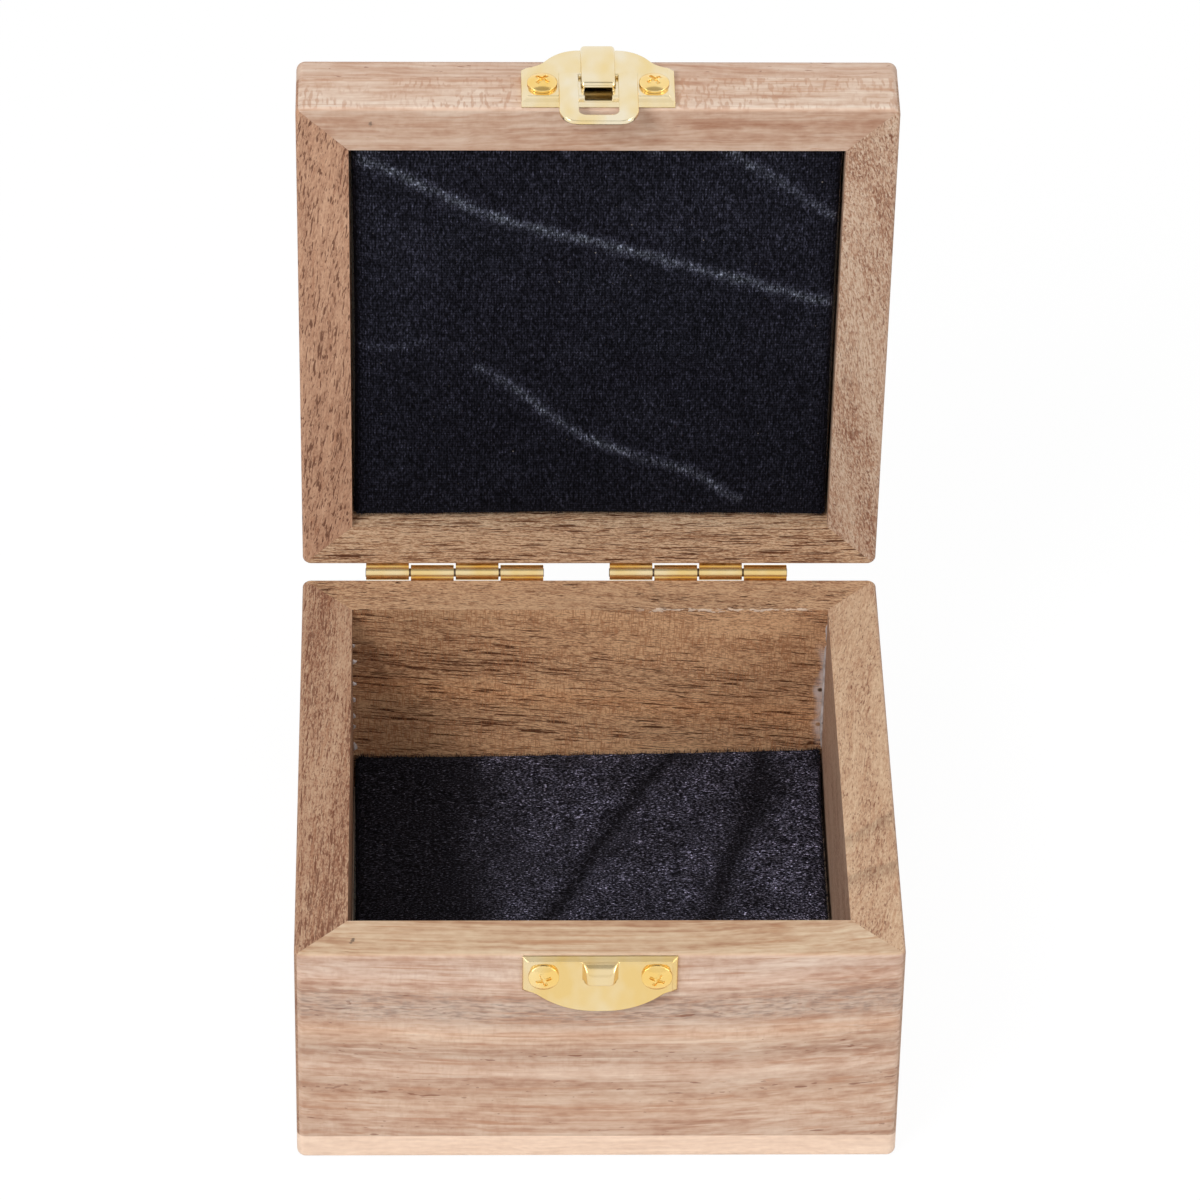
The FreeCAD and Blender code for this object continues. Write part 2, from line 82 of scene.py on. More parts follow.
# Wood noises, their scales per millimetre along the grain and twice across it
DRIFT_SCALE = (0.022, 0.06, 0.06)
EDDY_SCALE = (0.11, 0.16, 0.16)
BELT_SCALE = (0.004, 0.20, 0.20)
STREAK_SCALE = (0.022, 1.0, 1.0)
MOTTLE_SCALE = (0.10, 0.22, 0.22)
BLOTCH_SCALE = (0.34, 0.85, 0.85)
RUDDY_SCALE = (0.016, 1.15, 1.15)
PALE_SCALE = (0.035, 1.3, 1.3)
DASH_SCALE = (0.34, 1.9, 1.9)
CRACK_SCALE = (0.13, 3.0, 3.0)
PATCH_SCALE = (0.045, 0.16, 0.16)
NICK_SCALE = (1.6, 1.6, 1.6)

# How far a seed of 1 shifts the fibres, in millimetres
SEED_STEPS = (37.0, 11.0, 23.0)

# Fibres, along and across in the wood's own size, and pores with their depth too
THREADS = (0.22, 2.2)
SPECKLE = (0.95, 2.7)
FLECKS = (0.30, 2.4)
PORE_KINDS = ((0.90, 2.7, 0.6), (0.36, 2.1, 0.8), (0.11, 2.2, 1.0))

# Wood tints: steps of tone and level, then levels and channel factors of a piece's mean
TONE_STEPS = ((0.05, 0.52), (0.34, 0.82), (0.55, 1.05), (0.95, 1.42))
FLECK_LEVEL = 1.45
PORE_LEVEL = 0.17
CRACK_LEVEL = 0.07
RUDDY = (0.80, 0.60, 0.48)
DASH_GREY = (0.34, 0.31, 0.33)
SCORED = (0.72, 0.53, 0.43)

# Colours of torn fibres and of the glue's film and pits, and the pits by place across, height and darkness
TORN_FIBRE = (0.84, 0.66, 0.52)
GLUE_FILM = (0.80, 0.69, 0.66)
GLUE_PIT = (0.03, 0.02, 0.015)
GLUE_PITS = ((43.39, 28.9, 0.85), (43.3, 20.6, 0.3))

# Velvet: tints of standing pile, of the painted sheen of lying pile and of pale specks, the pads' forms,
# the cloth simulation and the knit's pitch in millimetres
FLOOR_PILE = (1.0, 0.95, 1.24)
FLOOR_CRUSHED_SHEEN = (1.0, 0.96, 1.36)
LID_PILE = (1.0, 1.01, 1.56)
LID_CRUSHED_SHEEN = (1.0, 1.12, 1.36)
SPECK_TINT = (0.30, 0.26, 0.23)
PAD_CELLS = 44
PAD_EDGE_LINES = (0.5, 1.1)
PAD_ROLL = 1.2 * MM
PAD_DRAW_IN = 0.4 * MM
PAD_CROWN = 0.5 * MM
PAD_SLACK = 0.25 * MM
PAD_SWELL = 0.35 * MM
CLOTH_GROWTH = 10.0
CLOTH_FRAMES = 20
CLOTH_PRESSURE = 4.0
CLOTH_QUALITY = 4
KNIT_COLUMN = 0.50
KNIT_ROW = 0.57

# Metal: colours, tints of its clouds, roughness, draw lines per millimetre and edges
KEEPER_BRASS = (0.85, 0.65, 0.33)
CLASP_BRASS = (0.87, 0.73, 0.46)
HINGE_BRASS = (0.84, 0.64, 0.32)
SCREW_BRASS = (0.94, 0.68, 0.27)
# Pins: steel, darkened further as painted shade in the gaps between the knuckles
SHADED_PIN = (0.22, 0.17, 0.12)
DEEP_CLOUD = (0.98, 0.92, 0.74)
PALE_CLOUD = (1.0, 1.06, 1.26)
POLISHED = 0.16
DRAWN = 0.20
DULL = 0.4
DRAW_LINES = (0.2, 7.0, 7.0)
KEEPER_EDGE = 0.6 * MM
CLASP_EDGE = 0.25 * MM
KEEPER_SHEARED = 0.35

# Studio, in metres: lamps by place, size and watts, then cards by place, width, height and level
AIM = (0, 0, 0.06)
WORLD_LIGHT = 0.30
LAMPS = {
    "key": ((-0.60, -0.80, 1.00), 0.50, 9.0),
    "fill": ((0.7, -0.9, 0.6), 0.7, 3.2),
    "top": ((0.0, -0.05, 1.2), 0.6, 4.0),
}
FLAGS = {
    "dim_ceiling": ((0.0, -0.33, 1.85), 3.2, 1.05, 0.45),
    "bright_card_low": ((0.0, -2.0, 0.35), 3.0, 0.7, 0.9),
    "left_window": ((-1.2, -0.7, 0.5), 0.3, 0.9, 6.0),
    "right_window": ((1.2, -0.7, 0.5), 0.3, 0.9, 6.0),
    "left_high_window": ((-1.0, 0.0, 1.25), 0.25, 0.25, 6.0),
    "right_high_window": ((1.0, 0.0, 1.25), 0.25, 0.25, 6.0),
}
FLOOR_REACH = 4.0


# Shader graph helpers


def add(tree, kind, inputs=None, **settings):
    """A new shader node. An input may be a value or another node's output."""
    made = tree.nodes.new("ShaderNode" + kind)
    for name, value in settings.items():
        setattr(made, name, value)
    for name, value in (inputs or {}).items():
        if isinstance(value, bpy.types.NodeSocket):
            tree.links.new(value, made.inputs[name])
        else:
            made.inputs[name].default_value = value
    return made


def calc(tree, operation, first, second=0.0, third=0.0):
    """The result of a sum on values."""
    return add(tree, "Math", {0: first, 1: second, 2: third}, operation=operation).outputs[0]


def chained(tree, operation, result, *others):
    """Several values put together, one after another."""
    for value in others:
        result = calc(tree, operation, result, value)
    return result


def total(tree, *values):
    """The sum of several values."""
    return chained(tree, "ADD", *values)


def product(tree, *values):
    """The product of several values."""
    return chained(tree, "MULTIPLY", *values)


def centred(tree, value, weight):
    """A 0..1 value moved to swing about 0, times a weight."""
    return calc(tree, "MULTIPLY_ADD", value, weight, -0.5 * weight)


def spread(tree, value, low, high, to_low=0.0, to_high=1.0):
    """A value eased from low..high to to_low..to_high, and held beyond."""
    inputs = {"Value": value, "From Min": low, "From Max": high, "To Min": to_low, "To Max": to_high}
    return add(tree, "MapRange", inputs, interpolation_type="SMOOTHSTEP").outputs["Result"]


def scaled(tree, vector, factors, turn=(0, 0, 0), shift=(0, 0, 0)):
    """A vector stretched, turned and shifted."""
    inputs = {"Vector": vector, "Location": shift, "Rotation": turn, "Scale": factors}
    return add(tree, "Mapping", inputs).outputs["Vector"]


def split(tree, vector):
    """The three parts of a vector."""
    return add(tree, "SeparateXYZ", {"Vector": vector}).outputs


def joined(tree, x, y, z):
    """A vector of three values."""
    return add(tree, "CombineXYZ", {0: x, 1: y, 2: z}).outputs[0]


def gap_to(tree, place, point):
    """How far a place is from a point."""
    return add(tree, "VectorMath", {0: place, 1: point}, operation="DISTANCE").outputs["Value"]


def noise(tree, vector, factors, detail=2.0, roughness=0.5, distortion=0.0):
    """Soft noise, stretched by factors per axis."""
    inputs = {
        "Vector": scaled(tree, vector, factors),
        "Scale": 1.0,
        "Detail": detail,
        "Roughness": roughness,
        "Distortion": distortion,
    }
    return add(tree, "TexNoise", inputs).outputs["Fac"]


def specks(tree, vector, factors, size, share):
    """Scattered soft-edged specks: one in each cell of a random share of the cells."""
    inputs = {"Vector": scaled(tree, vector, factors), "Scale": 1.0}
    cells = add(tree, "TexVoronoi", inputs)
    chance = add(tree, "SeparateColor", {"Color": cells.outputs["Color"]})
    reach = calc(tree, "MULTIPLY_ADD", chance.outputs["Green"], size * 0.6, size * 0.4)
    inside = calc(tree, "SUBTRACT", reach, cells.outputs["Distance"])
    spot = spread(tree, inside, 0.0, size * 0.35)
    kept = calc(tree, "LESS_THAN", chance.outputs["Red"], share)
    return product(tree, spot, kept)


def ramp(tree, value, stops):
    """A colour ramp of (place, colour) stops."""
    made = add(tree, "ValToRGB", {"Fac": value})
    elements = made.color_ramp.elements
    while len(elements) < len(stops):
        elements.new(1.0)
    for element, (place, colour) in zip(elements, stops):
        element.position = place
        element.color = (*colour[:3], 1)
    return made.outputs["Color"]


def mixed(tree, factor, first, second, mode="MIX"):
    """Two colours mixed by a factor."""
    made = add(tree, "Mix", {0: factor, 6: first, 7: second}, data_type="RGBA", blend_type=mode)
    return made.outputs[2]


def material(name):
    """An empty material and its shader graph."""
    made = bpy.data.materials.new(name)
    made.use_nodes = True
    made.node_tree.nodes.clear()
    return made, made.node_tree


def finished(made, tree, inputs, bump=None, strength=0.2, distance=0.2 * MM, edge=0.0):
    """Closes a material with a principled shader and an optional bump.

    With a bump, edge is the radius that sharp edges are shaded with.
    """
    if bump is not None:
        raised = {"Height": bump, "Strength": strength, "Distance": distance}
        if edge:
            raised["Normal"] = add(tree, "Bevel", {"Radius": edge}, samples=8).outputs["Normal"]
        raised = add(tree, "Bump", raised)
        inputs = {**inputs, "Normal": raised.outputs["Normal"]}
    shader = add(tree, "BsdfPrincipled", inputs)
    add(tree, "OutputMaterial", {"Surface": shader.outputs["BSDF"]})
    return made


def shade(colour, factor):
    """A colour made darker or lighter."""
    return tuple(channel * factor for channel in colour[:3])


def tinted(colour, factors):
    """A colour with each channel times its own factor."""
    return tuple(channel * factor for channel, factor in zip(colour, factors))


# Materials


def own_place(tree):
    """Where a point lies in its piece's own frame, in millimetres."""
    return scaled(tree, add(tree, "TexCoord").outputs["Object"], (1 / MM,) * 3)


def box_place(tree, of_lid):
    """Where a point lies in the closed box, in millimetres, and the way its surface faces there."""
    coords = add(tree, "TexCoord").outputs
    angle = LID_OPEN if of_lid else 0.0
    shift = (CLOSED.translation if of_lid else Vector()) / MM
    place = scaled(tree, coords["Object"], (1 / MM,) * 3, turn=(angle, 0, 0), shift=shift)
    facing = scaled(tree, coords["Normal"], (1, 1, 1), turn=(angle, 0, 0))
    return place, facing


def rounded_edges(tree, facing):
    """1 on rounded edges, where a surface faces between two of the box's axes."""
    x, y, z = split(tree, facing)
    pairs = [calc(tree, "ABSOLUTE", product(tree, a, b)) for a, b in ((x, y), (y, z), (z, x))]
    return spread(tree, total(tree, *pairs), 0.1, 0.45)


class Grain:
    """What the marks on one piece of wood share: its colour, its coordinates and its broad noises.

    U runs along the grain and v across it. Lean and sag tilt and bow the fibres, and swirl bends them.
    Size is the thickness of pores and threads.
    """

    def __init__(self, tree, mean, hue, size, of_lid, across_box, seed, lean, sag, swirl):
        self.tree = tree
        self.mean = mean
        self.hue = hue
        self.size = size
        self.place, self.facing = box_place(tree, of_lid)
        self.plain = self.place
        if not across_box:
            self.plain = scaled(tree, self.place, (1, 1, 1), turn=(0, 0, QUARTER))
        self.u, self.v, w = split(tree, self.plain)
        drift = centred(tree, noise(tree, self.plain, DRIFT_SCALE, detail=1), 2 * swirl)
        eddy = centred(tree, noise(tree, self.plain, EDDY_SCALE), 0.6 * swirl)
        bow = product(tree, self.u, -sag)
        slope = calc(tree, "MULTIPLY_ADD", bow, self.u, product(tree, self.u, lean))
        rise = total(tree, drift, eddy, slope)
        up = total(tree, w, rise)
        self.bent = joined(tree, self.u, total(tree, self.v, rise), up)
        # Like bent, but it leans only upward
        self.upright_run = joined(tree, self.u, total(tree, self.v, drift, eddy), up)
        shift = [seed * step for step in SEED_STEPS]
        self.fibre = scaled(tree, self.bent, (1, 1, 1), shift=shift)
        self.belts = noise(tree, self.fibre, BELT_SCALE, detail=4, roughness=0.62)
        self.streaks = noise(tree, self.fibre, STREAK_SCALE, detail=3, roughness=0.62)
        self.mottle = noise(tree, self.plain, MOTTLE_SCALE, detail=3, roughness=0.6)
        self.threads = self.fibres(*THREADS)
        upward = calc(tree, "ABSOLUTE", split(tree, self.facing)[2])
        self.level_face = spread(tree, upward, 0.5, 0.9)

    def fibres(self, along, across, detail=2.0):
        """Noise drawn out along the fibres, in the wood's own size."""
        factors = (along / self.size, across / self.size, across / self.size)
        return noise(self.tree, self.fibre, factors, detail=detail, roughness=0.6)

    def height(self, wander):
        """How high a point lies, wandering with the streaks."""
        level = split(self.tree, self.bent)[2]
        return total(self.tree, level, centred(self.tree, self.streaks, wander))

    def toned(self, factor):
        """The mean colour made darker or lighter along the wood's own hue."""
        return (*(channel * factor**power for channel, power in zip(self.mean, self.hue)), 1)


def base_tone(grain, figure, grit, cloud):
    """The wood's lights and darks, from broad belts to fine speckle."""
    tree = grain.tree
    blotches = noise(tree, grain.fibre, BLOTCH_SCALE, roughness=0.6)
    speckle = grain.fibres(*SPECKLE, detail=1.5)
    tone = total(
        tree,
        centred(tree, grain.belts, 0.85 * figure),
        centred(tree, grain.streaks, 0.75 * figure),
        centred(tree, grain.mottle, 0.45 * figure),
        centred(tree, grain.threads, 0.9 * grit),
        centred(tree, speckle, 0.9 * grit),
        centred(tree, blotches, cloud),
        0.5,
    )
    return ramp(tree, tone, [(start, grain.toned(factor)) for start, factor in TONE_STEPS])


def banded(grain, colour, thick, bands):
    """Bands of tint by height. Pores are thicker where the tint is dark."""
    tree = grain.tree
    low, high = bands[0][0], bands[-1][0]
    share = calc(tree, "MULTIPLY_ADD", grain.height(1.6), 1 / (high - low), -low / (high - low))
    half_tint = ramp(tree, share, [((z - low) / (high - low), shade(tint, 0.5)) for z, *tint in bands])
    tint = add(tree, "VectorMath", {0: half_tint, 1: (2, 2, 2)}, operation="MULTIPLY").outputs[0]
    green = add(tree, "SeparateColor", {"Color": half_tint}).outputs["Green"]
    thick = calc(tree, "MULTIPLY_ADD", green, -1.7, total(tree, thick, 0.82))
    return mixed(tree, 1.0, colour, tint, "MULTIPLY"), thick


def ringed(grain, colour, rings):
    """Dark lines across the level faces, sharper on one side: each a start, tilt, width and depth."""
    tree = grain.tree
    for start, tilt, width, depth in rings:
        off = total(tree, grain.u, product(tree, grain.v, tilt), -start)
        off = total(tree, off, centred(tree, grain.mottle, 3.0))
        sharp, soft = spread(tree, off, -width, 0.0), spread(tree, off, width * 5, 0.0)
        ring = product(tree, sharp, soft, grain.level_face)
        colour = mixed(tree, product(tree, ring, depth), colour, (*shade(grain.mean, 0.45), 1))
    return colour


def streaked(grain, colour, red, grit, pale):
    """Thin ruddy lines, short pale flecks and, where asked for, whitish streaks."""
    tree = grain.tree
    lines = noise(tree, grain.fibre, RUDDY_SCALE, detail=3, roughness=0.6)
    lines = spread(tree, lines, 0.53, 0.70, 0.0, red)
    colour = mixed(tree, lines, colour, (*tinted(grain.mean, RUDDY), 1))
    flecks = spread(tree, grain.fibres(*FLECKS, detail=1), 0.56, 0.70, 0.0, 0.42 * grit)
    colour = mixed(tree, flecks, colour, grain.toned(FLECK_LEVEL))
    if pale:
        thin = noise(tree, grain.fibre, PALE_SCALE, roughness=0.6)
        thin = spread(tree, thin, 0.57, 0.70, 0.0, pale)
        colour = mixed(tree, thin, colour, grain.toned(FLECK_LEVEL))
    return colour


def dashed(grain, colour, low, high):
    """A band of short grey dashes between two heights."""
    tree = grain.tree
    level = grain.height(2.0)
    over = spread(tree, level, low - 1.2, low + 0.8)
    under = spread(tree, level, high + 1.5, high - 1.0)
    bits = noise(tree, grain.fibre, DASH_SCALE, roughness=0.6)
    bits = spread(tree, bits, 0.40, 0.76, 0.0, 0.62)
    bits = product(tree, over, under, bits)
    return mixed(tree, bits, colour, (*tinted(grain.mean, DASH_GREY), 1))


def pore_holes(grain, pores, thick, calm):
    """How open the pores are at a point, or 0 in wood without pores."""
    tree = grain.tree
    holes = 0.0
    for share, (along, across, depth) in zip(pores, PORE_KINDS):
        if share is not None:
            level = total(tree, grain.fibres(along, across, detail=1.5), thick)
            start = 0.70 - 0.08 * share
            holes = calc(tree, "MAXIMUM", holes, spread(tree, level, start, start + 0.04, 0.0, depth))
    if holes:
        holes = product(tree, holes, calc(tree, "MULTIPLY_ADD", grain.level_face, -calm, 1.0))
    return holes


def cracked(grain, colour, thick, cracks):
    """Thin black splits along the grain."""
    tree = grain.tree
    level = noise(tree, grain.upright_run, CRACK_SCALE, detail=1)
    level = total(tree, level, thick)
    start = 0.68 - 0.08 * cracks
    splits = spread(tree, level, start, start + 0.025, 0.0, 0.92)
    return mixed(tree, splits, colour, grain.toned(CRACK_LEVEL))


def saw_marks(grain):
    """How deep the saw's marks across the grain are at a point, mostly on the upright faces."""
    tree = grain.tree
    cuts = noise(tree, grain.plain, (2.6 / grain.size, 0.48, 0.48), detail=1)
    patches = noise(tree, grain.plain, PATCH_SCALE)
    upright = calc(tree, "MULTIPLY_ADD", grain.level_face, -0.85, 1.0)
    return product(tree, spread(tree, cuts, 0.50, 0.64), spread(tree, patches, 0.34, 0.56), upright)


def stretch_tinted(grain, colour, start, end, tint):
    """A tint that comes in on the upright faces between two places along the grain."""
    tree = grain.tree
    upright = calc(tree, "SUBTRACT", 1.0, grain.level_face)
    share = product(tree, spread(tree, grain.u, start, end), upright)
    return mixed(tree, share, colour, (*tint, 1), "MULTIPLY")


def edge_wear_and_highlight(grain, colour):
    """Rounded edges, paler in patches: rubbing, and painted highlight where the rounding catches the light.
    """
    tree = grain.tree
    patches = spread(tree, grain.mottle, 0.35, 0.65, 0.05, 0.28)
    share = product(tree, rounded_edges(tree, grain.facing), patches)
    return mixed(tree, share, colour, (*shade(grain.mean, 1.32), 1))


def nicked(grain, colour, nicks):
    """Small dark dents: each a place in the closed box and a radius."""
    tree = grain.tree
    for x, y, z, radius in nicks:
        wander = noise(tree, grain.place, NICK_SCALE)
        gap = total(tree, gap_to(tree, grain.place, (x, y, z)), centred(tree, wander, radius * 1.6))
        spot = spread(tree, gap, radius, radius * 0.4, 0.0, 0.75)
        colour = mixed(tree, spot, colour, (*shade(grain.mean, 0.22), 1))
    return colour


def wood(
    name, of_lid, across_box, seed, mean, lean=0.0, sag=0.0, swirl=1.5, bands=(), rings=(), nicks=(),
    pores=(1.0, 1.0, 1.0), size=1.0, figure=1.0, grit=1.0, cloud=0.0, red=0.3, chatter=1.0,
    level_face_light=(1.0, 1.0, 1.0), calm=0.0, torn=None, smear=None, hue=(0.76, 1.0, 1.10), pale=0.0, cracks=0.0,
    dashes=None, fade=None,
):
    """Sawn wood, its grain along X or along Y of the box.

    Pores are the plenty of short, middling and long open pores, and cracks that of thin black splits.
    Figure is the depth of the broad streaks, grit that of the fine ones, cloud that of small blotches, red
    that of thin ruddy lines, pale that of thin whitish streaks and chatter that of saw marks.
    The level faces take their own tint, lighter or darker than the upright faces: painted light and shade,
    with a little change of tone. Calm is the share of the pores that they lack. Hue says how far red,
    green and blue follow the wood's lights and darks. Dashes are the heights of a band of short grey
    dashes, and fade is the start, end and tint of a stretch of the upright faces, which on the back wall is
    painted shade.
    """
    made, tree = material(name)
    grain = Grain(tree, mean, hue, size, of_lid, across_box, seed, lean, sag, swirl)
    colour = base_tone(grain, figure, grit, cloud)
    thick = centred(tree, grain.belts, -0.30)
    if bands:
        colour, thick = banded(grain, colour, thick, bands)
    colour = ringed(grain, colour, rings)
    colour = streaked(grain, colour, red, grit, pale)
    if dashes:
        colour = dashed(grain, colour, *dashes)
    holes = pore_holes(grain, pores, thick, calm)
    if holes:
        colour = mixed(tree, product(tree, holes, 0.85), colour, grain.toned(PORE_LEVEL))
    if cracks:
        colour = cracked(grain, colour, thick, cracks)
    marks = saw_marks(grain)
    scored = (*tinted(mean, SCORED), 1)
    colour = mixed(tree, product(tree, marks, 0.42 * chatter), colour, scored)
    # Painted light and shade: the level faces tinted lighter or darker than the upright ones
    colour = mixed(tree, grain.level_face, colour, (*level_face_light, 1), "MULTIPLY")
    # A tint along a stretch of the upright faces; on the back wall it is painted shade at the left end
    if fade:
        colour = stretch_tinted(grain, colour, *fade)
    colour = edge_wear_and_highlight(grain, colour)
    colour = nicked(grain, colour, nicks)
    if torn:
        colour = torn_edge(tree, grain.place, colour, *torn)
    if smear:
        colour = glue_smear(tree, grain.place, colour, *smear)

    relief = calc(tree, "MULTIPLY_ADD", marks, -0.35 * chatter, product(tree, grain.threads, 0.7))
    if holes:
        relief = calc(tree, "SUBTRACT", relief, holes)
    rough = spread(tree, grain.threads, 0.3, 0.7, 0.52, 0.70)
    inputs = {"Base Color": colour, "Roughness": rough, "Specular IOR Level": 0.25}
    return finished(made, tree, inputs, relief, strength=0.35, distance=0.15 * MM)


def torn_edge(tree, place, colour, start, end, edge_y, edge_z):
    """Pale torn fibres along an inner top edge, between two places across the box."""
    x, y, z = split(tree, place)
    bits = noise(tree, place, (0.55, 1.6, 1.6), detail=3, roughness=0.7)
    reach = spread(tree, bits, 0.42, 0.70, 0.0, 0.75)
    gap = calc(tree, "SUBTRACT", edge_z, z)
    back = calc(tree, "SUBTRACT", y, edge_y)
    near = calc(tree, "LESS_THAN", calc(tree, "MAXIMUM", gap, back), reach)
    along = product(tree, spread(tree, x, start, start + 3), spread(tree, x, end + 2, end - 1))
    torn = product(tree, near, along, 0.9)
    return mixed(tree, torn, colour, (*TORN_FIBRE, 1))


def glue_smear(tree, place, colour, edge_x, edge_y, low, high, width):
    """A soft whitish film of glue on the inner face of a wall, wiped out of its corner, with small pits."""
    x, y, z = split(tree, place)
    wander = noise(tree, place, (0.25, 0.25, 0.16))
    reach = calc(tree, "MULTIPLY_ADD", wander, 2.2 * width, -0.35 * width)
    gap = calc(tree, "SUBTRACT", calc(tree, "SUBTRACT", edge_x, x), reach)
    film = spread(tree, gap, 0.5, -0.7)
    inside = calc(tree, "LESS_THAN", calc(tree, "ABSOLUTE", calc(tree, "SUBTRACT", y, edge_y)), 0.2)
    along = product(tree, spread(tree, z, low, low + 7), spread(tree, z, high, high - 6))
    cloud = spread(tree, noise(tree, place, (0.9, 0.9, 0.6)), 0.25, 0.6, 0.45, 0.82)
    film = product(tree, film, along)
    film = product(tree, film, product(tree, inside, cloud))
    for pit_x, pit_z, dark in GLUE_PITS:
        pit = gap_to(tree, place, (pit_x, edge_y, pit_z))
        film = product(tree, film, spread(tree, pit, 0.25, 0.7))
        colour = mixed(tree, spread(tree, pit, 0.6, 0.3, 0.0, dark), colour, (*GLUE_PIT, 1))
    return mixed(tree, film, colour, (*GLUE_FILM, 1))


def velvet(name, pile, crushed_sheen, pitch, still, lit, depth, knit):
    """Crushed velvet, its sheen painted into its colour. The mesh's value of how far the pile lies over
    says where it catches light, and so where that painted sheen goes.

    The two tints are those of standing pile and of lying pile's painted sheen, pitch its strokes per
    millimetre, still and lit its levels, depth how far strokes differ and knit how far the cloth's weave
    shows. The strokes stand for the pile's texture and for painted glints off its fibres.
    """
    made, tree = material(name)
    place = own_place(tree)
    nap_sheen = add(tree, "Attribute", attribute_name="nap_sheen").outputs["Fac"]
    x, y, _ = split(tree, place)
    strands = noise(tree, place, (*pitch, 1.0), roughness=0.65, distortion=0.4)
    columns = calc(tree, "SINE", product(tree, x, 2 * math.pi / KNIT_COLUMN))
    rows = calc(tree, "SINE", product(tree, y, 2 * math.pi / KNIT_ROW))
    tufts = noise(tree, place, (0.35, 0.35, 1.0), detail=3, roughness=0.7)
    # Painted sheen: where the pile lies over the colour's level rises, and the strands' strokes stand for
    # glints off the fibres
    raised = product(tree, nap_sheen, spread(tree, tufts, 0.30, 0.64, 0.45, 1.25))
    weave = product(tree, total(tree, columns, rows), knit)
    contrast = calc(tree, "MULTIPLY_ADD", raised, 3.0, depth)
    swing = calc(tree, "MULTIPLY_ADD", centred(tree, strands, 1.0), contrast, weave)
    level = calc(tree, "MULTIPLY_ADD", raised, lit, still)
    level = product(tree, level, calc(tree, "EXPONENT", swing))
    tint = mixed(tree, raised, (*pile, 1), (*crushed_sheen, 1))
    colour = add(tree, "VectorMath", {0: tint, "Scale": level}, operation="SCALE").outputs[0]
    # Pale specks scattered over the cloth
    fine_specks = specks(tree, place, (0.62, 0.62, 1.0), 0.11, 0.06)
    faint_specks = specks(tree, place, (1.1, 1.1, 1.0), 0.15, 0.08)
    bits = calc(tree, "MAXIMUM", product(tree, fine_specks, 0.60), product(tree, faint_specks, 0.16))
    colour = mixed(tree, bits, colour, (*SPECK_TINT, 1))
    inputs = {
        "Base Color": colour,
        "Roughness": 0.9,
        "Specular IOR Level": 0.04,
        "Sheen Weight": 0.02,
        "Sheen Roughness": 0.4,
        "Sheen Tint": (0.70, 0.74, 1.0, 1),
    }
    return finished(made, tree, inputs, strands, strength=0.5, distance=0.3 * MM)


def brass(name, colour, roughness, run=(6.0, 6.0, 6.0), edge=0.0, sheared=0.0):
    """Bright metal with a faint draw-line haze and small tarnish clouds.

    Run is the haze's scale per millimetre, edge the radius that sharp edges are shaded with, and sheared
    how much rougher the faces that look up are.
    """
    made, tree = material(name)
    coords = add(tree, "TexCoord").outputs
    place = scaled(tree, coords["Object"], (1 / MM,) * 3)
    clouds = noise(tree, place, (0.16, 0.10, 0.10))
    lines = noise(tree, place, run, roughness=0.6)
    tint = ramp(tree, clouds, [(0.35, tinted(colour, DEEP_CLOUD)), (0.65, tinted(colour, PALE_CLOUD))])
    rough = calc(tree, "MULTIPLY_ADD", lines, 0.14, roughness - 0.07)
    if sheared:
        upward = split(tree, coords["Normal"])[2]
        rough = total(tree, rough, spread(tree, upward, 0.8, 0.95, 0.0, sheared))
    inputs = {"Base Color": tint, "Metallic": 1.0, "Roughness": rough}
    return finished(made, tree, inputs, lines, strength=0.08, distance=0.05 * MM, edge=edge)


def card(name):
    """Grey lining card with a felted surface."""
    made, tree = material(name)
    place = own_place(tree)
    flecks = noise(tree, place, (1.5, 1.5, 1.5), detail=4, roughness=0.7)
    colour = ramp(tree, flecks, [(0.35, (0.30, 0.27, 0.23)), (0.65, (0.46, 0.42, 0.36))])
    return finished(made, tree, {"Base Color": colour, "Roughness": 0.9}, flecks)


def dried_glue(name):
    """Whitish dried glue with cloudy thin places and small bubble holes."""
    made, tree = material(name)
    place = own_place(tree)
    clouds = noise(tree, place, (0.9, 0.9, 0.45), detail=3)
    colour = ramp(tree, clouds, [(0.32, (0.50, 0.42, 0.39)), (0.62, (0.80, 0.74, 0.73))])
    bubbles = specks(tree, place, (0.5, 0.5, 0.5), 0.28, 0.16)
    colour = mixed(tree, product(tree, bubbles, 0.8), colour, (0.10, 0.05, 0.03, 1))
    inputs = {"Base Color": colour, "Roughness": 0.38, "Specular IOR Level": 0.4}
    return finished(made, tree, inputs, clouds, strength=0.3, distance=0.3 * MM)


def dress(names, finish):
    """Gives CAD nodes a material."""
    for name in names:
        slots = nodes[name].data.materials
        slots.clear()
        slots.append(finish)


# Meshes


def mesh_object(name, points, faces, finish):
    """A smooth-shaded mesh object."""
    mesh = bpy.data.meshes.new(name)
    mesh.from_pydata([tuple(p) for p in points], [], faces)
    mesh.update()
    mesh.shade_smooth()
    mesh.materials.append(finish)
    made = bpy.data.objects.new(name, mesh)
    bpy.context.scene.collection.objects.link(made)
    return made


def applied(piece):
    """Makes the result of a piece's modifiers its own mesh."""
    graph = bpy.context.evaluated_depsgraph_get()
    mesh = bpy.data.meshes.new_from_object(piece.evaluated_get(graph))
    piece.modifiers.clear()
    piece.data = mesh
    return piece


def subdivided(piece, levels):
    """Applies a subdivision surface to a piece."""
    modifier = piece.modifiers.new("smooth", "SUBSURF")
    modifier.levels = levels
    modifier.render_levels = levels
    return applied(piece)


def points_of(piece, what="co"):
    """A mesh's points, or their normals, as an array."""
    values = np.empty(len(piece.data.vertices) * 3, np.float32)
    piece.data.vertices.foreach_get(what, values)
    return values.reshape(-1, 3).astype(float)


def set_points(piece, points):
    """Moves a mesh's points."""
    piece.data.vertices.foreach_set("co", points.astype(np.float32).ravel())
    piece.data.update()


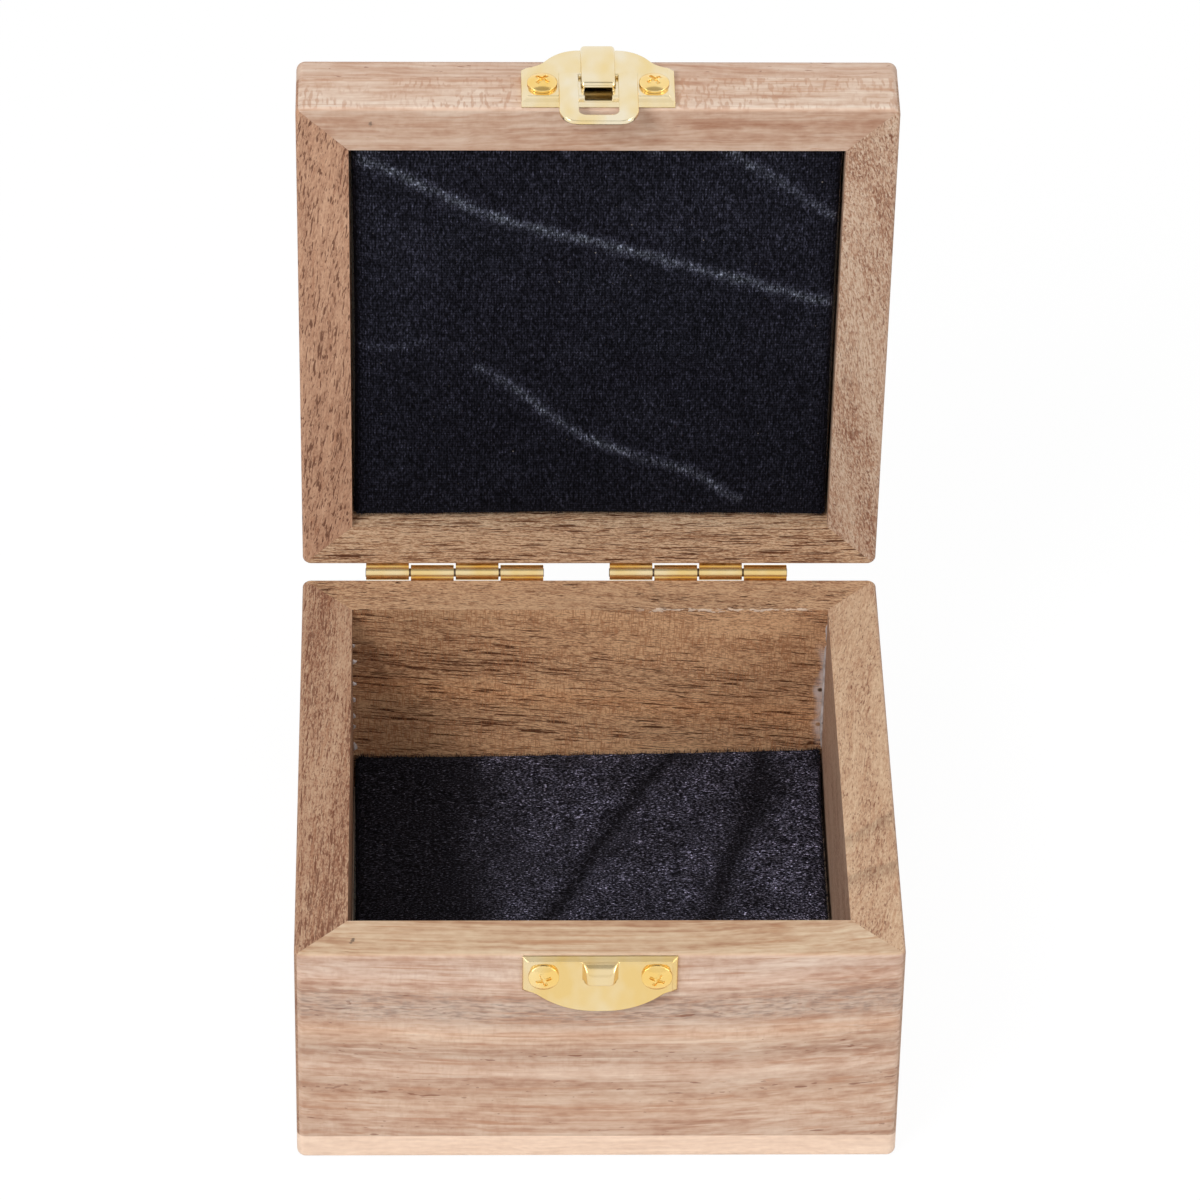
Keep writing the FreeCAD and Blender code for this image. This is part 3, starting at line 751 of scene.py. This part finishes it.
def set_nap_sheen(piece, values):
    """Stores how far the pile lies over at each point, which the velvet paints into its colour as sheen."""
    attribute = piece.data.attributes.new("nap_sheen", "FLOAT", "POINT")
    attribute.data.foreach_set("value", values.astype(np.float32))


def grid_faces(columns, rows, start, flip):
    """Quads of a grid of points that starts at an index."""
    quads = []
    for row in range(rows - 1):
        for column in range(columns - 1):
            corner = start + row * columns + column
            quad = [corner, corner + 1, corner + columns + 1, corner + columns]
            quads.append(quad[::-1] if flip else quad)
    return quads


def pad_mesh(half_x, half_y, height, crown_height):
    """A closed pad on z = 0: its points, its quads and each top point's distance from the edge.

    It has a crowned top, rolled edges, sides drawn in and a flat underside.
    """
    inner = np.linspace(-1, 1, PAD_CELLS + 1)[1:-1]
    near = [1 - inset * MM / half_x for inset in PAD_EDGE_LINES]
    line = np.sort(np.concatenate([inner, [-1, 1], near, [-place for place in near]]))
    count = len(line)
    s, t = np.meshgrid(line, line)
    x = s * (half_x - PAD_DRAW_IN * (1 - t**2))
    y = t * (half_y - PAD_DRAW_IN * (1 - s**2))
    edge = np.minimum(half_x * (1 - np.abs(s)), half_y * (1 - np.abs(t)))
    short = np.clip(PAD_ROLL - edge, 0, PAD_ROLL)
    roll = PAD_ROLL - np.sqrt(PAD_ROLL**2 - short**2)
    crown = crown_height * (1 - s**2) * (1 - t**2)
    top = np.stack([x, y, height - PAD_CROWN + crown - roll], axis=-1).reshape(-1, 3)
    under = np.stack([x, y, np.zeros_like(x)], axis=-1).reshape(-1, 3)
    quads = grid_faces(count, count, 0, False) + grid_faces(count, count, count**2, True)
    ring = list(range(count))
    ring += [row * count + count - 1 for row in range(1, count)]
    ring += [count * (count - 1) + i for i in range(count - 2, -1, -1)]
    ring += [row * count for row in range(count - 2, 0, -1)]
    for i, first in enumerate(ring):
        second = ring[(i + 1) % len(ring)]
        quads.append([first, first + count**2, second + count**2, second])
    return np.concatenate([top, under]), quads, edge.ravel()


def swollen(piece, free):
    """Lets cloth pressure swell the free points of a pad, none of them further than the pad's swell."""
    start = points_of(piece)
    set_points(piece, start * CLOTH_GROWTH)
    held = piece.vertex_groups.new(name="held")
    held.add(np.flatnonzero(~free).tolist(), 1.0, "REPLACE")
    modifier = piece.modifiers.new("cloth", "CLOTH")
    settings = modifier.settings
    settings.vertex_group_mass = "held"
    settings.use_pressure = True
    settings.uniform_pressure_force = CLOTH_PRESSURE
    settings.effector_weights.gravity = 0.0
    settings.quality = CLOTH_QUALITY
    modifier.collision_settings.use_collision = False
    modifier.point_cache.frame_start = 1
    modifier.point_cache.frame_end = CLOTH_FRAMES
    for step in range(1, CLOTH_FRAMES + 1):
        bpy.context.scene.frame_set(step)
    applied(piece)
    bpy.context.scene.frame_set(1)
    piece.vertex_groups.clear()
    move = points_of(piece) / CLOTH_GROWTH - start
    reach = np.linalg.norm(move, axis=1, keepdims=True)
    set_points(piece, start + move * np.minimum(1, PAD_SWELL / np.maximum(reach, 1e-9)))
    return piece


def hairs(roots, tips, radius):
    """Closed three-sided hairs, one from each root to its tip, as points and faces."""
    run = tips - roots
    run /= np.linalg.norm(run, axis=1, keepdims=True)
    first = np.cross(run, np.array([0.3, 0.9, 0.2]))
    first /= np.linalg.norm(first, axis=1, keepdims=True)
    second = np.cross(run, first)
    corners = []
    for turn in (0, 2 * math.pi / 3, 4 * math.pi / 3):
        corners.append(roots + radius[:, None] * (math.cos(turn) * first + math.sin(turn) * second))
    count = len(roots)
    faces = []
    for i in range(count):
        a, b, c, tip = i, i + count, i + 2 * count, i + 3 * count
        faces += [[a, c, b], [a, b, tip], [b, c, tip], [c, a, tip]]
    return np.concatenate(corners + [tips]), faces


def path_distance(points, path):
    """Distance of points in plan from a line of straight runs, and the share of its length passed."""
    path = np.array(path, float)
    runs = np.diff(path, axis=0)
    lengths = np.linalg.norm(runs, axis=1)
    nearest = np.full(len(points), np.inf)
    share = np.zeros(len(points))
    for start, run, length, before in zip(path, runs, lengths, np.cumsum(lengths) - lengths):
        offset = points - start
        along = np.clip(offset @ run / length**2, 0, 1)
        distance = np.linalg.norm(offset - along[:, None] * run, axis=1)
        closer = distance < nearest
        nearest = np.where(closer, distance, nearest)
        share = np.where(closer, (before + along * length) / lengths.sum(), share)
    return nearest, share


def bell(distance, width):
    """A smooth bump that falls off over a width."""
    return np.exp(-((distance / width) ** 2))


def ease(values, low, high):
    """Smooth step from 0 at low to 1 at high."""
    t = np.clip((values - low) / (high - low), 0, 1)
    return t * t * (3 - 2 * t)


def ripple(points, scale, seed):
    """A smooth repeatable wander in plan, about -1 to 1."""
    draw = np.random.default_rng(seed)
    result = np.zeros(len(points))
    for _ in range(8):
        angle = draw.uniform(0, 2 * math.pi)
        pitch = scale * draw.uniform(0.6, 1.7)
        phase = draw.uniform(0, 2 * math.pi)
        along = points @ np.array([math.cos(angle), math.sin(angle)])
        result += np.sin(2 * math.pi * along / pitch + phase)
    return result / 4


# Velvet pads, in millimetres: lines in plan with their width and strength, for the floor's folds, painted
# darker as shade, and the lid's streaks, painted as sheen, and heights
FLOOR_FOLDS = [
    ([(17.5, 44), (9.6, 34), (1.9, 19), (-5.8, 2), (-14, -16), (-20, -30)], 1.9, 1.0),
    ([(33, 42), (31.2, 31), (27, 16.5), (22.7, 1), (17, -16), (13, -28)], 2.1, 0.9),
    ([(34, 36), (31, 27)], 5.0, 0.85),
]
LID_STREAKS = [
    ([(-44, -41), (-35, -37), (-26, -31.4), (-13.6, -25.7), (0.8, -21.6), (15, -17), (30, -12), (44, -7)],
     1.25, 0.85),
    ([(22, -42.5), (31, -37), (36.4, -32.6), (44, -26.5)], 1.1, 0.7),
    ([(-21, 7), (-15, 11.6), (-7.7, 18.8), (-2, 23.6), (9, 28.9), (18.4, 32), (27, 39)], 1.05, 0.8),
    ([(-44, 2), (-37, 3), (-30, 1)], 0.8, 0.3),
]
FOLD_DIP = 0.55
STREAK_RIDGE = 0.12
FLOOR_TILT = 0.9
FLOOR_REAR_RISE = 2.0


def pad(name, size, finish):
    """A pad's mesh, swollen by cloth pressure, then made fine enough to fold."""
    half_x, half_y, height = size
    points, quads, edge = pad_mesh(half_x, half_y, height, PAD_CROWN - PAD_SLACK)
    piece = mesh_object(name, points, quads, finish)
    free = np.concatenate([edge > PAD_ROLL, np.zeros(len(edge), bool)])
    swollen(piece, free)
    return subdivided(piece, 2)


def pile(name, base, count, reach, seed, finish):
    """Loose pile that stands up round a pad's edge, as fine hairs that stay inside the pad's outline."""
    points, normals = points_of(base), points_of(base, "normal")
    half = np.abs(points[:, :2]).max(axis=0)
    edge = (half - np.abs(points[:, :2])).min(axis=1)
    near = np.flatnonzero((edge < 1.0 * MM) & (normals[:, 2] > 0.15) & (points[:, 2] > 0))
    draw = np.random.default_rng(seed)
    chosen = draw.choice(near, count)
    roots = points[chosen] + draw.normal(0, 0.12 * MM, (count, 3))
    lean = normals[chosen] * [0.3, 0.3, 1.0] + draw.normal(0, 0.45, (count, 3))
    lean[:, 2] = np.abs(lean[:, 2]) + 0.2
    length = reach * draw.uniform(0.35, 1.0, count) ** 1.5
    tips = roots + lean / np.linalg.norm(lean, axis=1, keepdims=True) * length[:, None]
    tips[:, :2] = np.clip(tips[:, :2], -half, half)
    roots[:, :2] = np.clip(roots[:, :2], -half, half)
    roots[:, 2] -= 0.1 * MM
    points, faces = hairs(roots, tips, draw.uniform(0.035, 0.075, count) * MM)
    piece = mesh_object(name, points, faces, finish)
    # Each hair gets its own painted sheen, at random
    set_nap_sheen(piece, np.tile(draw.uniform(0.0, 0.45, count), 4))
    piece.matrix_world = base.matrix_world
    return piece


def settle(piece, body, node):
    """Attaches a pad to the body it rides on and hides the CAD node it stands in for."""
    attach(piece, body)
    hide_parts(node)


def floor_pad(finish):
    """The floor's lining, black, with painted shade on the left where the left wall's shadow falls, painted
    sheen on the right where its pile lies over, and soft folds that dip and are painted darker.
    """
    low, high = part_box("floor_velvet_pad")
    piece = pad("floor_lining", (high.x, high.y, high.z - low.z), finish)
    points = points_of(piece)
    plan = points[:, :2] / MM
    top = points[:, 2] > 0.5 * points[:, 2].max()
    inner = 1 - ease(np.abs(plan).max(axis=1), 38, 43.5)
    # Painted sheen: none on the left, where it stands for the left wall's shadow, rising to the right and
    # brighter still near the right edge
    sheen = ease(plan[:, 0] + 3.0 * ripple(plan, scale=22, seed=3), -25, -11)
    sheen *= 0.80 + 0.20 * ripple(plan, scale=14, seed=5)
    sheen *= 1 + 0.35 * ease(plan[:, 0], 20, 42)
    dip = np.zeros(len(points))
    # Each fold dips and is painted darker, as shade in the fold
    for path, width, depth in FLOOR_FOLDS:
        gap, _ = path_distance(plan + 0.5 * ripple(plan, scale=9, seed=8)[:, None], path)
        sheen *= 1 - depth * bell(gap, width)
        dip += FOLD_DIP * depth * bell(gap, width * 1.3)
    tilt = FLOOR_TILT * np.clip(plan[:, 0] / 44, -1, 1) * ease(plan[:, 1], -20, 44)
    tilt += FLOOR_REAR_RISE * ease(plan[:, 1], 20, 43.5)
    rise = tilt - dip * inner + 0.16 * ripple(plan, scale=18, seed=11) * inner
    rise += 0.12 * ripple(plan, scale=5, seed=12)
    points[:, 2] += np.where(top, rise * MM, 0)
    set_points(piece, points)
    set_nap_sheen(piece, np.clip(sheen, 0, 1.3))
    piece.location = (0, 0, low.z)
    bpy.context.view_layer.update()
    settle(piece, "base", "floor_velvet_pad")
    fuzz = pile("floor_pile", piece, count=3600, reach=1.3 * MM, seed=21, finish=finish)
    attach(fuzz, "base")


def lid_pad(finish):
    """The lid's lining, black, with painted sheen along a few lines where the pile is pressed flat, a
    painted shadow just above each, and painted highlights along one rolled edge.
    """
    corners = np.array([CLOSED @ v.co for v in nodes["lid_velvet_pad"].data.vertices])
    low, high = corners.min(axis=0), corners.max(axis=0)
    piece = pad("lid_lining", (high[0], high[1], high[2] - low[2]), finish)
    points = points_of(piece)
    plan = points[:, :2] / MM * np.array([1, -1])
    top = points[:, 2] > 0.5 * points[:, 2].max()
    # Broad patches of painted sheen and a gentle rise of it across the lid
    crushed_sheen = 0.06 * ease(ripple(plan, scale=30, seed=4), 0.0, 1.2)
    crushed_sheen += 0.05 * ease(ripple(plan, scale=11, seed=14), 0.2, 1.4)
    crushed_sheen += 0.04 * ease(-plan[:, 1], -25, 40)
    ridge = np.zeros(len(points))
    # Along each streak: painted sheen where the pile is pressed flat, a painted shadow just above it, and a
    # slight raised ridge
    for path, width, depth in LID_STREAKS:
        gap, share = path_distance(plan + 0.35 * ripple(plan, scale=7, seed=2)[:, None], path)
        fade = 0.75 + 0.25 * ripple(plan, scale=6, seed=41) * np.cos(share * 5)
        stroke = bell(gap, width)
        above, _ = path_distance(plan + np.array([0, 1.5]), path)
        crushed_sheen += depth * fade * stroke - 0.05 * depth * bell(above, 0.9) * (1 - stroke)
        ridge += STREAK_RIDGE * stroke
    # Painted highlight: patches along one rolled edge where its fibres catch the light
    edge_highlight = bell(plan[:, 1] + 42.6, 1.0) * ease(ripple(plan, scale=9, seed=17), 0.0, 0.7)
    crushed_sheen += 0.55 * edge_highlight
    points[:, 2] += np.where(top, (ridge + 0.08 * ripple(plan, scale=20, seed=6)) * MM, 0)
    set_points(piece, points)
    set_nap_sheen(piece, np.clip(crushed_sheen, -0.05, 1))
    hang = Matrix.Translation((0, 0, high[2])) @ Matrix.Rotation(math.pi, 4, "X")
    piece.matrix_world = CLOSED.inverted() @ hang
    bpy.context.view_layer.update()
    settle(piece, "lid", "lid_velvet_pad")
    fuzz = pile("lid_pile", piece, count=2600, reach=0.7 * MM, seed=22, finish=finish)
    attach(fuzz, "lid")


# Glue squeezed out of the rear inner corners


def bead(name, corner, side, stretches, seed, finish):
    """A run of dried glue up a rear inner corner, lying on the back wall.

    Each stretch is low, high and width.
    """
    draw = np.random.default_rng(seed)
    points, faces = [], []
    for low, high, width in stretches:
        rows = max(5, int((high - low) / 0.7))
        levels = np.linspace(low, high, rows)
        rounding = np.sqrt(np.clip(1 - np.linspace(-1, 1, rows) ** 4, 0.02, 1))
        wander = 1 + 0.30 * np.convolve(draw.normal(0, 1, rows + 2), [0.25, 0.5, 0.25], "valid")
        widths = width * rounding * np.clip(wander, 0.4, 1.7)
        start = len(points)
        for level, reach in zip(levels, widths):
            thick = 0.32 * min(reach, 1.0)
            lens = [(0, 0), (0, thick), (0.35, 0.85 * thick), (0.7, 0.5 * thick), (1.0, 0.02), (0.6, 0)]
            for along, out in lens:
                points.append((corner[0] - side * along * reach, corner[1] - out, level))
        sides = len(lens)
        for row in range(rows - 1):
            for i in range(sides):
                a, b = start + row * sides + i, start + row * sides + (i + 1) % sides
                quad = [a, b, b + sides, a + sides]
                faces.append(quad if side > 0 else quad[::-1])
        caps = [list(range(start, start + sides))[::-1], list(range(len(points) - sides, len(points)))]
        faces += caps if side > 0 else [cap[::-1] for cap in caps]
    piece = mesh_object(name, np.array(points) * MM, faces, finish)
    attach(piece, "base")


def glue_beads():
    """Both rear corners: a long smear on the right and broken bits on the left."""
    finish = dried_glue("dried_glue")
    right_run = [(14.6, 39.5, 0.45), (40.2, 44.5, 0.3)]
    left_run = [(14.2, 16.4, 0.7), (19.4, 20.6, 0.5), (22.0, 23.3, 0.5), (25.9, 27.2, 0.6)]
    left_run += [(29.9, 30.9, 0.5), (35.0, 36.2, 0.6), (39.0, 39.9, 0.45)]
    bead("right_glue_bead", (INNER_X, INNER_Y), side=1, stretches=right_run, seed=31, finish=finish)
    bead("left_glue_bead", (-INNER_X, INNER_Y), side=-1, stretches=left_run, seed=32, finish=finish)


# Stage


def white_for_viewer(tree, seen, lit):
    """Mixes two shaders: one for camera, mirror and glass rays, the other for light."""
    path = add(tree, "LightPath").outputs
    viewer = calc(tree, "MAXIMUM", path["Is Camera Ray"], path["Is Glossy Ray"])
    viewer = calc(tree, "MAXIMUM", viewer, path["Is Transmission Ray"])
    return add(tree, "MixShader", {0: viewer, 1: lit, 2: seen}).outputs[0]


def sheet(name, x, y, finish):
    """A flat rectangle about its middle, with half its width and half its height."""
    return mesh_object(name, [(-x, -y, 0), (x, -y, 0), (x, y, 0), (-x, y, 0)], [[0, 1, 2, 3]], finish)


def aimed(piece, place):
    """Puts a lamp or card in its place and turns it to the box."""
    piece.location = place
    piece.rotation_euler = (Vector(AIM) - Vector(place)).to_track_quat("-Z", "Y").to_euler()


def make_floor():
    """A pale floor that reads as white and keeps a faint shadow."""
    made, tree = material("pale_floor")
    diffuse = add(tree, "BsdfDiffuse", {"Color": (0.86, 0.86, 0.86, 1)}).outputs[0]
    glow = add(tree, "Emission", {"Color": (1, 1, 1, 1), "Strength": 1.03}).outputs[0]
    veil = add(tree, "MixShader", {0: 0.92, 1: diffuse, 2: glow}).outputs[0]
    add(tree, "OutputMaterial", {"Surface": white_for_viewer(tree, veil, diffuse)})
    floor = sheet("studio_floor", FLOOR_REACH, FLOOR_REACH, made)
    floor.location.z = -0.05 * MM


def make_flag(name, place, width, height, level):
    """A card that only mirrors see, so that polished metal has something dark or bright to show."""
    made, tree = material(name)
    glow = add(tree, "Emission", {"Color": (1, 0.98, 0.95, 1), "Strength": level}).outputs[0]
    add(tree, "OutputMaterial", {"Surface": glow})
    flag = sheet(name, width / 2, height / 2, made)
    aimed(flag, place)
    flag.visible_camera = False
    flag.visible_diffuse = False
    flag.visible_shadow = False
    flag.visible_transmission = False


def make_world(level):
    """Even light all round, white to the eye and in mirrors."""
    world = bpy.data.worlds.new("studio")
    bpy.context.scene.world = world
    world.use_nodes = True
    tree = world.node_tree
    tree.nodes.clear()
    seen = add(tree, "Background", {"Color": (1, 1, 1, 1), "Strength": 1.0}).outputs[0]
    lit = add(tree, "Background", {"Color": (1, 1, 1, 1), "Strength": level}).outputs[0]
    add(tree, "OutputWorld", {"Surface": white_for_viewer(tree, seen, lit)})


def make_lamp(name, place, size, watts):
    """A soft square lamp aimed at the box."""
    data = bpy.data.lights.new(name, "AREA")
    data.size = size
    data.energy = watts
    lamp = bpy.data.objects.new(name, data)
    aimed(lamp, place)
    lamp.visible_glossy = False
    bpy.context.scene.collection.objects.link(lamp)


def make_camera():
    """The photograph's viewpoint."""
    data = bpy.data.cameras.new("camera")
    data.lens = CAMERA_LENS
    data.sensor_width = CAMERA_SENSOR
    camera = bpy.data.objects.new("camera", data)
    camera.location = CAMERA_PLACE
    camera.rotation_euler = [math.radians(angle) for angle in CAMERA_TURN]
    bpy.context.scene.collection.objects.link(camera)
    bpy.context.scene.camera = camera


# The front and back walls' bands, by height in millimetres, each a tint of the wall's mean

FRONT_BANDS = [
    (5, 0.93, 0.91, 0.90), (9, 0.98, 0.95, 0.93), (12.5, 1.00, 0.97, 0.94), (15.5, 0.91, 0.87, 0.84),
    (18, 0.94, 0.92, 0.91), (20, 1.07, 1.06, 1.06), (22, 1.00, 0.99, 0.99), (24.5, 0.89, 0.89, 0.89),
    (27, 0.98, 0.95, 0.92), (29.5, 1.10, 1.04, 0.98), (31.5, 0.97, 0.96, 0.96), (33.5, 0.86, 0.86, 0.88),
    (36.5, 0.90, 0.91, 0.94), (39, 1.00, 1.00, 1.02), (41, 1.11, 1.11, 1.14), (43.5, 1.02, 1.03, 1.07),
    (48, 1.00, 1.00, 1.02),
]
BACK_BANDS = [
    (14, 1.00, 1.00, 1.00), (20.5, 0.93, 0.94, 0.95), (24, 1.00, 0.98, 0.95), (26.5, 1.07, 0.98, 0.90),
    (29, 1.00, 0.98, 0.96), (33.5, 0.93, 0.94, 0.95), (37, 1.00, 1.00, 1.00), (48, 1.02, 1.01, 1.00),
]

# Each wooden piece's own cut of timber, in the order of their seeds
WOOD_CUTS = {
    "base_front_wall": dict(
        mean=FRONT_WALL, lean=-0.012, sag=0.0009, swirl=0.8, bands=FRONT_BANDS,
        pores=(-0.4, -0.45, None), size=1.9, figure=1.6, grit=0.16, cloud=0.75, red=0.65, chatter=0.3,
        hue=(0.62, 1.0, 1.2), pale=0.5, dashes=(32.5, 38.0),
        nicks=[(-43.2, -49.1, 48, 0.42), (-43.35, -49.6, 48, 0.45), (-43.5, -50.1, 48, 0.42)],
        level_face_light=(0.97, 0.96, 0.83), calm=0.6,
    ),
    "base_back_wall": dict(
        mean=BACK_WALL, lean=0.10, swirl=0.6, bands=BACK_BANDS, pores=(0.5, 0.8, 0.9), size=0.62,
        grit=2.5, cracks=0.9, chatter=1.6, rings=[(26.6, 0.294, 0.25, 0.5)], level_face_light=(0.77, 0.82, 0.88),
        torn=(8, 40, INNER_Y, RIM), smear=(INNER_X, INNER_Y, 14.0, 41.0, 1.9),
        # Painted shade: the upright faces darken towards the left end, where the left wall shades them
        fade=(-12, -34, (0.80, 0.79, 0.78)),
    ),
    "base_left_wall": dict(
        mean=LEFT_WALL, lean=0.05, swirl=0.8, pores=(1.5, 1.4, 0.9), size=0.75, grit=1.5, chatter=0.2,
        hue=(0.66, 1.0, 1.12),
    ),
    "base_right_wall": dict(
        mean=RIGHT_WALL, lean=0.15, swirl=1.5, pores=(1.2, 0.6, 0.2), size=0.85, figure=0.75, grit=1.15,
        chatter=0.2, hue=(0.66, 1.0, 1.12), rings=[(62.4, 0.9, 1.0, 0.42), (54.7, 0.5, 1.0, 0.45)],
        level_face_light=(1.16, 1.17, 1.08),
    ),
    "lid_front_rail": dict(
        mean=LID_FRONT, lean=0.02, pores=(-0.6, -0.5, None), size=1.8, figure=1.5, grit=0.14, cloud=0.7,
        red=0.6, hue=(0.58, 1.0, 1.25), pale=0.4, calm=0.5, chatter=1.3,
        nicks=[(-40.2, -50.1, 48.4, 0.6)], level_face_light=(0.90, 0.84, 0.80), fade=(5, 35, (1.05, 1.09, 1.11)),
    ),
    "lid_back_rail": dict(
        mean=LID_BACK, lean=-0.03, swirl=0.6, pores=(0.9, 1.0, 1.0), size=0.62, grit=3.1, cracks=0.9,
        chatter=0.4, hue=(0.70, 1.0, 1.2),
    ),
    "lid_left_rail": dict(
        mean=LID_LEFT, lean=-0.13, swirl=0.8, pores=(0.4, 0.85, 1.35), size=0.78, chatter=0.3,
    ),
    "lid_right_rail": dict(
        mean=LID_RIGHT, lean=0.2, swirl=2.0, pores=(1.4, 0.8, 0.4), size=0.78, grit=2.0, chatter=0.3,
        hue=(0.62, 1.0, 1.2),
    ),
    "lid_panel": dict(
        mean=LID_TOP, lean=0.02, swirl=2.0, pores=(-0.2, -0.1, None), size=1.6, figure=1.4, grit=0.3,
        red=0.5, hue=(0.58, 1.0, 1.25), pale=0.3, chatter=0.3,
    ),
    "bottom_board": dict(
        mean=PALE_BOARD, swirl=2.5, pores=(None, None, None), size=1.9, figure=0.4, grit=0.3, red=0.0,
        chatter=0.1,
    ),
}


def dress_wood():
    """Gives each wooden piece its cut, its grain along its length."""
    for seed, (name, cut) in enumerate(WOOD_CUTS.items(), start=1):
        of_lid = name.startswith("lid_")
        across_box = "left" not in name and "right" not in name
        dress([name], wood("wood_" + name, of_lid, across_box, seed, **cut))


def dress_metal():
    """Polished clasp, drawn hinges, dull steel pins darkened as painted shade between the knuckles, and
    deeper gold screws.
    """
    keeper = brass("keeper_brass", KEEPER_BRASS, POLISHED, edge=KEEPER_EDGE, sheared=KEEPER_SHEARED)
    dress(["keeper_plate"], keeper)
    dress(["clasp_plate", "clasp_lever"], brass("clasp_brass", CLASP_BRASS, POLISHED, edge=CLASP_EDGE))
    leaves = [hand + "_hinge_" + leaf for hand in ("left", "right") for leaf in ("base_leaf", "lid_leaf")]
    dress(leaves, brass("hinge_brass", HINGE_BRASS, DRAWN, run=DRAW_LINES))
    dress(["left_hinge_pin", "right_hinge_pin"], brass("shaded_pin_steel", SHADED_PIN, DULL, run=DRAW_LINES))
    screws = ["keeper_screws", "clasp_screws", "hinge_base_screws", "hinge_lid_screws"]
    dress(screws, brass("screw_brass", SCREW_BRASS, POLISHED, edge=CLASP_EDGE))


def line_with_velvet():
    """The floor's pile lies along X and the lid's along Y, and the lid shows more of its weave."""
    look = dict(pitch=(1.9, 4.2), still=0.0064, lit=0.0150, depth=13.0, knit=0.05)
    floor_pad(velvet("floor_velvet", FLOOR_PILE, FLOOR_CRUSHED_SHEEN, **look))
    look = dict(pitch=(2.9, 1.2), still=0.0070, lit=0.046, depth=7.5, knit=0.26)
    lid_pad(velvet("lid_velvet", LID_PILE, LID_CRUSHED_SHEEN, **look))


dress_wood()
dress_metal()
dress(["floor_pad_board", "lid_pad_board"], card("lining_card"))
line_with_velvet()
glue_beads()

make_floor()
make_world(WORLD_LIGHT)
for name, setting in LAMPS.items():
    make_lamp(name, *setting)
for name, setting in FLAGS.items():
    make_flag(name, *setting)
make_camera()

bpy.context.scene.view_settings.view_transform = "Standard"
